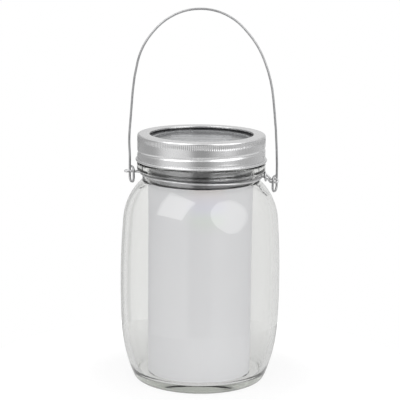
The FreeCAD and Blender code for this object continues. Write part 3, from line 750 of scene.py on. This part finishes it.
def buildFilm(d):
    radius, shift, rows = d["radius"], d["shift"], d["rows"]
    # two half turns and the lap, winding inwards: radius, centre, and the angles of the ends
    arcs = ((radius, 0.0, quarter, 3 * quarter),
            (radius - shift / 2, -shift / 2, 3 * quarter, 5 * quarter),
            (radius - shift, 0.0, quarter, quarter + radians(d["lap"])))
    stations = []
    for r, y, start, end in arcs:
        steps = max(d["leastColumns"], round(d["columns"] * (end - start) / fullTurn))
        angles = [start + (end - start) * i / steps for i in range(steps + 1)]
        stations += [(r, y, angle) for angle in (angles[1:] if stations else angles)]
    verts = []
    for depth in (0.0, d["thickness"]):
        for r, y, angle in stations:
            for k in range(rows + 1):
                share = k / rows
                wave = sin(d["swayWaves"] * angle + d["swayLean"] * share)
                out = r - depth - d["sway"] * (0.5 + 0.5 * wave) * sin(pi * share)
                verts.append((out * cos(angle), y + out * sin(angle),
                              d["bottom"] + (d["top"] - d["bottom"]) * share))
    # a ring at each station goes up the outside and down the inside
    back = len(verts) // 2
    rings = []
    for low in range(0, back, rows + 1):
        front = list(range(low, low + rows + 1))
        rings.append(front + [back + v for v in reversed(front)])
    faces = ringFaces(rings)
    for ring in (rings[0], rings[-1]):
        faces += [(ring[k], ring[k + 1], ring[-2 - k], ring[-1 - k]) for k in range(rows)]
    piece = makePiece("diffuserFilm", (verts, faces), filmFinish("white film", d), "jar",
                      ["diffuser_film"], d["flatTurn"])


buildFilm(film)
print("diffuser film done")


# Screw band: one sheet with a knurled strip, a rolled thread and a hem
band = {
    "top": 140.7, "bottom": 125.45, "sheet": 0.45, "outer": 35.85, "window": 29.05,
    "corner": 1.2, "lip": 1.1, "lipRound": 0.4,
    "knurl": (136.5, 139.5), "teeth": 200, "toothColumns": 4, "toothDepth": 0.28, "toothShape": 1.5,
    "toothFade": 4.0,
    "hemRadius": 0.75, "hemRise": 0.95, "hemTurn": (115.0, -180.0),
    "flareTop": 128.6, "flareDrop": 0.8, "flareOut": 0.06,
    "roll": {"z": 131.65, "pitch": 5.0, "turns": (-0.8, 0.45), "laps": (-1, 0, 1)},
    "rollDepth": 0.45, "rollHalf": 1.15, "rollFade": 0.12, "rollFrom": 126.9, "rollBelowTop": 1.1,
    "ridgeHalf": 1.12, "ridgeRise": 1.0,
    "roundStep": 0.08, "cornerStep": 0.1, "rowStep": 0.07, "rowBend": 9.0, "longest": 1.6,
    "skirtLongest": 0.3, "skirtFrom": 126.0,
    "metallic": 1.0, "light": (0.715, 0.715, 0.72, 1), "dark": (0.665, 0.665, 0.67, 1),
    "driftScale": 70.0, "worn": (0.88, 0.88, 0.885, 1), "wear": 0.4, "wearEdge": (0.53, 0.62),
    "lines": {"Around": 2.5, "Across": 2400.0}, "grainScale": 700.0, "grainShares": (0.5, 0.35),
    "rough": (0.23, 0.31), "bump": 0.03, "bumpDepth": 0.02,
}


def bandFinish(name, look):
    paint = Finish(name, look)
    lines = paint.effect(rolledGroup, **look["lines"])
    grain = paint.grain()
    inMask, inHeight = look["grainShares"]
    paint.colour(paint.wear(), look["worn"])
    paint.rough(blended(paint.add, inMask, lines["Mask"], grain["Mask"]))
    paint.bump(blended(paint.add, inHeight, lines["Height"], grain["Height"]))
    return paint.material


def bandProfile(d):
    sheet, corner, lipRound, window = d["sheet"], d["corner"], d["lipRound"], d["window"]
    outer, inner = d["outer"], d["outer"] - sheet
    top, under = d["top"], d["top"] - sheet
    small = corner - sheet
    hem = (outer + d["hemRise"] - d["hemRadius"], d["bottom"] + d["hemRadius"])
    hemStart, hemEnd = (radians(turn) for turn in d["hemTurn"])
    row = [(window, top - d["lip"])]
    row += arcRow((window + lipRound, top - lipRound), lipRound, pi, quarter, d["roundStep"])
    row += arcRow((outer - corner, top - corner), corner, quarter, 0.0, d["cornerStep"])
    row += [(outer, d["flareTop"]), (outer + d["flareOut"], d["flareTop"] - d["flareDrop"])]
    row += arcRow(hem, d["hemRadius"], hemStart, hemEnd, d["roundStep"])
    row += [(inner, d["flareTop"])]
    row += arcRow((inner - small, under - small), small, 0.0, quarter, d["cornerStep"])
    return row + [(window + sheet, under), (window + sheet, top - d["lip"])]


def buildBand(d):
    outer, inner = d["outer"], d["outer"] - d["sheet"]
    knurlLow, knurlHigh = d["knurl"]
    rollTop = d["top"] - d["rollBelowTop"]
    outerSlack, innerSlack, skirtSlack = 0.12, 0.35, 0.4      # how far a face's points stray

    def longest(point):
        onSkirt = point[1] > d["skirtFrom"] and point[0] > inner - skirtSlack
        return d["skirtLongest"] if onSkirt else d["longest"]

    # how far into the rolled thread a place is, from 0 beside it to 1 along its middle line
    def rolled(z, angle, half):
        most = 0.0
        for end, off in threadPasses(z, angle, d["roll"]):
            share = abs(off) / half
            if end > 0 and share < 1:
                most = max(most, min(1.0, end / d["rollFade"]) * (0.5 + 0.5 * cos(pi * share)))
        return most

    def withThread(r, z, angle):
        if not d["rollFrom"] < z < rollTop:
            return r
        if r > outer - outerSlack:
            r -= d["rollDepth"] * rolled(z, angle, d["rollHalf"])
            if knurlLow < z < knurlHigh:
                share = (z - knurlLow) / (knurlHigh - knurlLow)
                fade = min(1.0, d["toothFade"] * min(share, 1 - share))
                tooth = (0.5 - 0.5 * cos(d["teeth"] * angle)) ** d["toothShape"]
                r -= d["toothDepth"] * fade * tooth
        elif r > inner - innerSlack:
            r -= d["ridgeRise"] * rolled(z, angle, d["ridgeHalf"])
        return r

    row = evenRow(bandProfile(d), d["rowStep"], closed=True)
    row = easedRow(row, reach=1, closed=True, passes=2)
    row = thinnedRow(row, radians(d["rowBend"]), longest, closed=True)
    columns = d["teeth"] * d["toothColumns"]
    makePiece("screwBand", lathe(row, columns, True, withThread), bandFinish("tinned band", d),
              "band", ["screw_band"])


buildBand(band)
print("screw band done")


# Wire of the neck ring and the bail: drawn steel with a zinc coat; painted light on the ring,
# painted shade on the bail
wire = {
    "diameter": 1.25, "bendStep": 5.0, "flatTurn": 50, "metallic": 1.0, "driftScale": 260.0,
    "flakeScale": 900.0, "flakeFrom": (0.6, 1.0), "flakeShare": (0.0, 0.5), "flakeGain": 1.2,
    "rough": (0.28, 0.4), "grainScale": 2600.0, "bump": 0.1, "bumpDepth": 0.01,
}
neck = {
    "ringRadius": 33.75, "ringZ": 117.85, "tilt": 1.6, "ringArcs": 3,
    "earAngle": 9.0, "earSpacing": 1.75, "earBend": 2.0,
    "leftReach": 5.15, "leftTip": 3.6, "leftTipLength": 2.6, "leftTipBend": 0.94,
    "leftTipWidth": 3.2,
    "rightReach": 7.7, "rightTip": 1.7, "rightDrop": 2.4, "rightLevel": 2.5, "rightTwist": 65.0,
    "wrapReach": 2.2, "wrapGap": 0.25, "wrapStep": 0.35, "fullBend": 0.98,
    "wrapCorners": ((0.5, -1), (-1, -1), (-1, 1), (1, 1)),
    # the neck ring's zinc, painted lighter for the light that it catches
    "light": (0.66, 0.66, 0.665, 1), "dark": (0.54, 0.542, 0.55, 1),
}
thick = wire["diameter"]


def wireFinish(name, look):
    paint = Finish(name, look)
    flakes = flaked(paint.add, paint.coords, look["flakeScale"])
    pale = (*(tone * look["flakeGain"] for tone in look["light"][:3]), 1)
    paint.colour(spanned(paint.add, flakes, look["flakeFrom"], look["flakeShare"]), pale)
    return paint.grained()


def buildWire(name, points, bends, material, body, node):
    route = bentRoute(points, bends, radians(wire["bendStep"]))
    makePiece(name, wireMesh(route, thick / 2), material, body, [node],
              wire["flatTurn"])


# The neck wire is drawn flat about the ring's centre, then tilted and lifted
def tilted(point):
    angle = radians(neck["tilt"])
    return Vector((point.x * cos(angle) + point.z * sin(angle), point.y,
                   neck["ringZ"] - point.x * sin(angle) + point.z * cos(angle)))


def leftEar(d):
    half, wide = d["earSpacing"] / 2, d["leftTipWidth"] / 2
    tip = d["ringRadius"] + d["leftReach"] + d["leftTip"]
    start = tip - d["leftTipLength"]
    leg = [(start, half), ((start + tip) / 2, wide), (tip, wide)]
    points = [Vector((-x, y, 0)) for x, y in leg]
    points += [Vector((-x, -y, 0)) for x, y in reversed(leg)]
    return points, [d["leftTipBend"]] * len(points)


def rightEar(d):
    half = d["earSpacing"] / 2
    twist = radians(d["rightTwist"])
    gap = Vector((0, cos(twist), sin(twist))) * half
    eye = d["ringRadius"] + d["rightReach"]
    stations = [Vector((d["ringRadius"] + d["wrapReach"] + thick, 0, 0)),
                Vector((eye - d["rightLevel"], 0, -d["rightDrop"])),
                Vector((eye + d["rightTip"], 0, -d["rightDrop"]))]
    points = [station - gap for station in stations]
    points += [station + gap for station in reversed(stations)]
    points.append(Vector((d["ringRadius"] + thick, 0, 0)) + gap)
    tight = half * d["fullBend"]
    return points, [thick] * 2 + [tight] * 2 + [thick] * 2 + [None]


def wrappedTurn(d):
    wrap = d["earSpacing"] / 2 + thick + d["wrapGap"]
    corners = d["wrapCorners"]
    x = d["ringRadius"] + d["wrapReach"] + (len(corners) - 1) / 2 * d["wrapStep"]
    points = []
    for y, z in corners:
        points.append(Vector((x, wrap * y, wrap * z)))
        x -= d["wrapStep"]
    bend = wrap * d["fullBend"] ** 2
    return points, [None, bend, bend, thick]


def buildNeckWire(d, material):
    angle = radians(d["earAngle"])
    ring, half, arcs = d["ringRadius"], d["earSpacing"] / 2, d["ringArcs"]
    step = (pi - 2 * angle) / arcs
    touch = Vector((ring * cos(angle), ring * sin(angle), 0))
    slope = tan(angle)
    root = touch.x + (touch.y - half) * slope
    reach = ring / cos(step / 2)
    halves = []
    for side in (0, pi):
        ways = [side + angle + (i + 0.5) * step for i in range(arcs)]
        halves.append([Vector((reach * cos(way), reach * sin(way), 0)) for way in ways])
    roundRing = [ring] * arcs
    points, bends = wrappedTurn(d)
    leaveY = points[-1].y + thick / 2
    points.append(Vector((touch.x + (touch.y - leaveY) * slope, leaveY, 0)))
    points += halves[0] + [Vector((-root, half, 0))]
    bends += [thick] + roundRing + [d["earBend"]]
    ear, earBends = leftEar(d)
    points += ear + [Vector((-root, -half, 0))] + halves[1] + [Vector((root, -half, 0))]
    bends += earBends + [d["earBend"]] + roundRing + [thick]
    ear, earBends = rightEar(d)
    buildWire("neckWire", [tilted(p) for p in points + ear], bends + earBends, material, "jar",
              "neck_wire")


bail = {
    "eyeWidth": 6.0, "eyeAbove": 2.7, "eyeBelow": 5.9, "eyeTurn": 24.0, "eyeRound": 2.6,
    "eyeEndGap": 0.7, "legStart": 6.0, "legBend": 12.0, "archBend": 0.49,
    # across, and above the ring
    "corners": ((-40.5, 19.15), (-37.9, 54.15), (-33.6, 71.65), (-22.0, 85.55), (-8.8, 92.05),
                (6.0, 92.15), (18.5, 86.45), (31.0, 72.55), (38.6, 53.15), (41.6, 25.15)),
    # the bail's zinc, painted darker than the same coat on the neck ring
    "light": (0.47, 0.47, 0.475, 1), "dark": (0.38, 0.382, 0.39, 1),
}


def eyeCorners(d, hinge, side):
    turn = radians(d["eyeTurn"])
    across = Vector((side * sin(turn), cos(turn), 0))
    half, above, below = d["eyeWidth"] / 2, d["eyeAbove"], d["eyeBelow"]
    outline = [(half - thick - d["eyeEndGap"], above), (-half, above), (-half, -below),
               (half, -below), (half, above + d["legStart"])]
    return [hinge + across * h + Vector((0, 0, z)) for h, z in outline]


def buildBail(d, material):
    ring = neck["ringRadius"]
    leftHinge = tilted(Vector((-ring - neck["leftReach"], 0, 0)))
    rightHinge = tilted(Vector((ring + neck["rightReach"], 0, -neck["rightDrop"])))
    left, right = eyeCorners(d, leftHinge, -1), eyeCorners(d, rightHinge, 1)
    arch = [Vector((x, 0, neck["ringZ"] + rise)) for x, rise in d["corners"]]
    archBends = sharedBends(left[-1:] + arch + right[-1:], d["archBend"])
    eyeBends = [d["eyeRound"]] * 3
    bends = [None] + eyeBends + [d["legBend"]] + archBends + [d["legBend"]] + eyeBends + [None]
    buildWire("bailHandle", left + arch + right[::-1], bends, material, "bail", "bail_handle")


buildNeckWire(neck, wireFinish("zinc wire painted lighter", {**wire, **neck}))
buildBail(bail, wireFinish("zinc wire painted darker", {**wire, **bail}))
print("wires done")


# Silvered shell of the solar module, left black round the panel's recess
shell = {"light": (0.41, 0.41, 0.42, 1), "dark": (0.35, 0.35, 0.36, 1), "driftScale": 80.0,
         "black": (0.018, 0.018, 0.02, 1), "blackFrom": (138.35, 138.65),
         "rough": (0.1, 0.2), "bump": 0.08, "bumpDepth": 0.02}


def shellFinish(name, look):
    paint = Finish(name, look)
    height = apart(paint.add, paint.coords)["Z"]
    bare = spanned(paint.add, height, inMetres(look["blackFrom"]))
    paint.colour(bare, look["black"])
    paint.feed("Metallic", maths(paint.add, "SUBTRACT", 1.0, bare))
    return paint.grained()


dressNode("module_housing", shellFinish("bright shell", shell))


# Solar panel: four strips of cell with printed fingers, and clear resin over all
silicon = {"light": (0.020, 0.026, 0.06, 1), "dark": (0.010, 0.013, 0.032, 1), "crystals": 230.0,
           "fingerStep": 1.7, "fingerHalf": (0.05, 0.08), "finger": (0.42, 0.43, 0.46, 1),
           "fingerRough": 0.5, "rough": (0.22, 0.36), "ior": 1.6, "grainScale": 2600.0,
           "bump": 0.2, "bumpDepth": 0.02}
resin = {
    "radius": 28.05, "bottom": 135.96, "top": 137.6, "foot": 0.3, "edge": (0.08, 0.05),
    "creep": 0.7, "creepRun": 2.2, "creepSteps": 8, "rings": (0.66, 0.33), "count": 160,
    "flatTurn": 35, "tint": (0.93, 0.945, 0.96, 1), "clear": 0.84, "ior": 1.52,
    "rough": (0.16, 0.24), "grainScale": 160.0, "bump": 0.1, "bumpDepth": 0.15,
}


def cellFinish(name, look):
    paint = Finish(name, look)
    add = paint.add
    shade = flaked(add, paint.coords, look["crystals"])
    colour = blendedColour(add, shade, look["light"], look["dark"])
    beat = maths(add, "PINGPONG", apart(add, paint.coords)["X"], look["fingerStep"] * mm / 2)
    line = spanned(add, beat, inMetres(look["fingerHalf"]), (1.0, 0.0))
    paint.feed("Base Color", blendedColour(add, line, colour, look["finger"]))
    grain = paint.grain()
    rough = spanned(add, grain["Mask"], (0.0, 1.0), look["rough"])
    paint.feed("Roughness", blended(add, line, rough, look["fingerRough"]))
    paint.bump(maths(add, "ADD", grain["Height"], line))
    return paint.material


# The resin creeps a little up the wall of its recess
def buildResin(d):
    radius, bottom, top, foot = d["radius"], d["bottom"], d["top"], d["foot"]
    edgeIn, edgeDown = d["edge"]
    creepTop = top + d["creep"]
    row = [(0.0, bottom), (radius - foot, bottom), (radius, bottom + foot),
           (radius, creepTop - edgeDown), (radius - edgeIn, creepTop)]
    for i in range(1, d["creepSteps"] + 1):
        share = i / d["creepSteps"]
        row.append((radius - edgeIn - d["creepRun"] * share, top + d["creep"] * (1 - share) ** 3))
    row += [(radius * share, top) for share in d["rings"]] + [(0.0, top)]
    makePiece("panelResin", lathe(row, d["count"]), clearFinish("clear resin", d).material,
              "solar_module", ["panel_resin"], d["flatTurn"])


dressNode("solar_cells", cellFinish("silicon", silicon))
buildResin(resin)
print("solar panel done")


# Lamp: clear epoxy round a small cup on the leads
lamp = {
    "radius": 2.5, "tip": 107.7, "base": 116.3, "rim": 2.9, "rimHeight": 1.0, "count": 48,
    "round": 0.1, "foot": 0.08, "domeStep": 0.25, "flatTurn": 50,
    "cup": ((0.0, 112.2), (0.5, 112.2), (0.9, 111.5), (1.05, 111.5), (1.05, 112.6), (0.45, 113.2),
            (0.45, 115.6), (0.0, 115.6)), "cupCount": 32, "cupFlatTurn": 30,
    "tint": (0.95, 0.95, 0.93, 1), "clear": 0.92, "ior": 1.53,
    "rough": (0.03, 0.1), "grainScale": 500.0, "bump": 0.08, "bumpDepth": 0.05,
}
pins = {"light": (0.78, 0.78, 0.77, 1), "dark": (0.62, 0.62, 0.62, 1), "rough": (0.22, 0.42),
        "metallic": 1.0, "grainScale": 2400.0, "bump": 0.2, "bumpDepth": 0.02}


def buildLamp(d, metal):
    radius, rim, base, edge = d["radius"], d["rim"], d["base"], d["round"]
    rimZ = base - d["rimHeight"]
    row = arcRow((0.0, d["tip"] + radius), radius, -quarter, 0.0, d["domeStep"])
    row[0] = (0.0, d["tip"])
    row += [(radius, rimZ - edge), (radius + d["foot"], rimZ), (rim - edge, rimZ),
            (rim, rimZ + edge), (rim, base - edge), (rim - edge, base), (0.0, base)]
    makePiece("ledLamp", lathe(row, d["count"]), clearFinish("lamp epoxy", d).material,
              "solar_module", ["led_lamp"], d["flatTurn"])
    makePiece("lampCup", lathe(d["cup"], d["cupCount"]), metal, "solar_module", (),
              d["cupFlatTurn"])


pinMetal = grainedFinish("pin metal", pins)
buildLamp(lamp, pinMetal)


# Rechargeable cell in its sleeve, and the spring at its flat end. The cell's profile runs along
# X from that end to the nub
cell = {
    "left": -13.0, "right": 16.0, "y": 12.0, "z": 121.7, "radius": 5.1, "count": 72, "flatTurn": 40,
    "leftFace": (0.0, 4.0, 4.05, 4.15, 4.7), "leftRound": 0.45, "rightRound": 0.6,
    # rolled groove near the right end: depth, and distance from that end
    "groove": ((0.0, 3.2), (0.08, 2.95), (0.28, 2.7), (0.28, 2.4), (0.08, 2.15), (0.0, 1.9)),
    # recess round the nub: radius, and depth
    "recess": ((4.15, 0.0), (4.0, 0.12), (3.2, 0.12), (2.0, 0.0), (1.9, -0.15)),
    "nub": 1.9, "nubHeight": 1.0, "nubRound": 0.3, "nubStep": 0.1, "endStep": 0.15,
    "light": (0.09, 0.30, 0.155, 1), "dark": (0.06, 0.22, 0.115, 1), "driftScale": 120.0,
    "metal": (0.72, 0.72, 0.71, 1), "bareWithin": (4.0, 4.15), "ior": 1.52,
    "rough": (0.22, 0.36), "grainScale": 1200.0, "bump": 0.15, "bumpDepth": 0.04,
}
contact = {"light": (0.80, 0.795, 0.77, 1), "dark": (0.66, 0.655, 0.63, 1), "rough": (0.2, 0.36),
           "metallic": 1.0, "grainScale": 2200.0, "bump": 0.2, "bumpDepth": 0.02}
spring = {"wire": 0.6, "wide": 3.4, "narrow": 2.2, "turns": 3, "room": 4.0, "seat": 0.02,
          "steps": 30, "sides": 12, "flatTurn": 50}


# Printed sleeve, with bare metal at the two end faces
def sleeveFinish(name, look):
    paint = Finish(name, look)
    add = paint.add
    place = vectorMaths(add, "SUBTRACT", paint.coords, inMetres((0, look["y"], look["z"])))
    reach = vectorMaths(add, "LENGTH", vectorMaths(add, "MULTIPLY", place, (0, 1, 1)))
    bare = spanned(add, reach, inMetres(look["bareWithin"]), (1.0, 0.0))
    paint.colour(bare, look["metal"])
    paint.feed("Metallic", bare)
    return paint.grained()


def buildCell(d):
    left, right, radius = d["left"], d["right"], d["radius"]
    leftRound, rightRound, nubRound = d["leftRound"], d["rightRound"], d["nubRound"]
    nubTop, step = right + d["nubHeight"], d["endStep"]
    row = [(r, left) for r in d["leftFace"]]
    row += arcRow((radius - leftRound, left + leftRound), leftRound, -quarter, 0.0, step)
    row += [(radius - depth, right - back) for depth, back in d["groove"]]
    row += arcRow((radius - rightRound, right - rightRound), rightRound, 0.0, quarter, step)
    row += [(r, right - depth) for r, depth in d["recess"]]
    row += arcRow((d["nub"] - nubRound, nubTop - nubRound), nubRound, 0.0, quarter, d["nubStep"])
    verts, faces = lathe(row + [(0.0, nubTop)], d["count"])
    verts = [(z, d["y"] + y, d["z"] - x) for x, y, z in verts]
    makePiece("batteryCell", (verts, faces), sleeveFinish("cell sleeve", d), "solar_module",
              ["battery_cell"], d["flatTurn"])


def buildSpring(d, metal):
    seat = d["wire"] / 2 + d["seat"]
    count = d["turns"] * d["steps"]
    route = []
    for i in range(count + 1):
        share = i / count
        angle = share * d["turns"] * fullTurn
        r = d["wide"] + share * (d["narrow"] - d["wide"])
        x = cell["left"] - d["room"] + seat + share * (d["room"] - 2 * seat)
        route.append(Vector((x, cell["y"] + r * sin(angle), cell["z"] - r * cos(angle))))
    makePiece("batterySpring", wireMesh(route, d["wire"] / 2, d["sides"]), metal, "solar_module",
              ["battery_spring"], d["flatTurn"])


contactMetal = grainedFinish("contact metal", contact)
buildCell(cell)
buildSpring(spring, contactMetal)


# Circuit board with printed tracks
board = {"light": (0.012, 0.10, 0.045, 1), "dark": (0.008, 0.07, 0.032, 1), "driftScale": 160.0,
         "track": (0.03, 0.19, 0.075, 1), "rough": (0.2, 0.36), "ior": 1.52, "grainScale": 2000.0,
         "bumpDepth": 0.03,
         "layout": {"Scale": 170.0, "Mortar Size": 0.045, "Brick Width": 0.9, "Row Height": 0.34}}


def boardFinish(name, look):
    paint = Finish(name, look)
    layout = {"Vector": paint.coords, **look["layout"]}
    tracks = paint.add("ShaderNodeTexBrick", layout).outputs["Fac"]
    paint.colour(tracks, look["track"])
    paint.rough(paint.grain()["Mask"])
    paint.bump(tracks)
    return paint.material


dressNode("circuit_board", boardFinish("board green", board))

# The other pieces of the module, which keep their shape
dressed = {
    "module_cover": {
        "name": "black cover", "light": (0.022, 0.022, 0.025, 1), "dark": (0.014, 0.014, 0.016, 1),
        "rough": (0.34, 0.5), "grainScale": 1900.0, "bump": 0.25, "bumpDepth": 0.03, "wear": 0.3,
        "worn": (0.07, 0.07, 0.075, 1)},
    "lid_gasket": {
        "name": "gasket rubber", "light": (0.86, 0.86, 0.83, 1), "dark": (0.78, 0.78, 0.75, 1),
        "rough": (0.6, 0.8), "grainScale": 1400.0, "wear": 0.1},
    "panel_board": {
        "name": "panel backing", "light": (0.03, 0.031, 0.036, 1), "dark": (0.018, 0.018, 0.022, 1),
        "rough": (0.45, 0.65)},
    "cell_busbars": {
        "name": "busbar metal", "light": (0.82, 0.82, 0.83, 1), "dark": (0.68, 0.68, 0.70, 1),
        "rough": (0.22, 0.4), "metallic": 1.0, "grainScale": 2400.0, "bump": 0.25},
    "driver_chip": {
        "name": "chip black", "light": (0.028, 0.028, 0.03, 1), "dark": (0.018, 0.018, 0.02, 1),
        "rough": (0.5, 0.7)},
    "inductor": {
        "name": "ferrite", "light": (0.13, 0.12, 0.12, 1), "dark": (0.085, 0.08, 0.08, 1),
        "rough": (0.5, 0.75), "bump": 0.45},
    "switch_body": {
        "name": "switch black", "light": (0.035, 0.035, 0.036, 1), "dark": (0.024, 0.024, 0.026, 1),
        "rough": (0.4, 0.6)},
    "switch_slider": {
        "name": "slider white", "light": (0.84, 0.84, 0.81, 1), "dark": (0.76, 0.76, 0.73, 1),
        "rough": (0.38, 0.55), "wear": 0.12},
}
for node, look in dressed.items():
    dressNode(node, grainedFinish(look["name"], look))
for node, metal in (("led_leads", pinMetal), ("cover_screws", pinMetal),
                    ("battery_plates", contactMetal)):
    dressNode(node, metal)


# Leads inside the module, each a smooth line through its route
lead = {
    "diameter": 1.1, "panelTop": 135.0, "boardTop": 121.7, "straight": 4.4, "y": -8.0,
    "panelGap": 2.0, "panelPads": 6.4, "plateX": 17.2, "plateTop": 124.3, "middle": 128.9,
    "batteryY": 12.0, "padY": -2.0, "padX": 11.5, "order": 3, "smoothness": 10, "roundness": 4,
    "rough": (0.3, 0.46), "bump": 0.15,
    # side, light and dark
    "colours": {"red": (1, (0.50, 0.022, 0.02, 1), (0.40, 0.016, 0.016, 1)),
                "black": (-1, (0.024, 0.024, 0.026, 1), (0.016, 0.016, 0.018, 1))},
}


def buildLead(name, points, material, node):
    curve = bpy.data.curves.new(name, "CURVE")
    curve.dimensions = "3D"
    line = curve.splines.new("NURBS")
    line.points.add(len(points) - 1)
    for point, place in zip(line.points, points):
        point.co = (*inMetres(place), 1.0)
    line.order_u = lead["order"]
    line.use_endpoint_u = True
    line.resolution_u = lead["smoothness"]
    curve.bevel_depth = lead["diameter"] / 2 * mm
    curve.bevel_resolution = lead["roundness"]
    curve.use_fill_caps = True
    drawn = newObject(name + "Line", curve)
    bpy.context.view_layer.update()
    shaped = drawn.evaluated_get(bpy.context.evaluated_depsgraph_get())
    mesh = bpy.data.meshes.new_from_object(shaped)
    bpy.data.objects.remove(drawn)
    placePiece(name, mesh, material, "solar_module", [node])


def panelRoute(d, side):
    x, pad, y = side * d["panelGap"] / 2, side * d["panelPads"] / 2, d["y"]
    return [(x, y, d["panelTop"]), (x, y, d["panelTop"] - d["straight"]),
            (pad, y, d["boardTop"] + d["straight"]), (pad, y, d["boardTop"])]


def batteryRoute(d, side):
    x, pad, middle = side * d["plateX"], side * d["padX"], d["middle"]
    return [(x, d["batteryY"], d["plateTop"]), (x, d["batteryY"], middle),
            ((x + 2 * pad) / 3, (d["batteryY"] + 2 * d["padY"]) / 3, middle),
            (pad, d["padY"], (middle + d["boardTop"]) / 2), (pad, d["padY"], d["boardTop"])]


for colour, (side, light, dark) in lead["colours"].items():
    material = grainedFinish("lead " + colour, {**lead, "light": light, "dark": dark})
    for kind, route in (("panel", panelRoute(lead, side)), ("battery", batteryRoute(lead, side))):
        buildLead(kind + "Lead" + colour.title(), route, material,
                  kind + "_lead_" + colour)
print("module done")
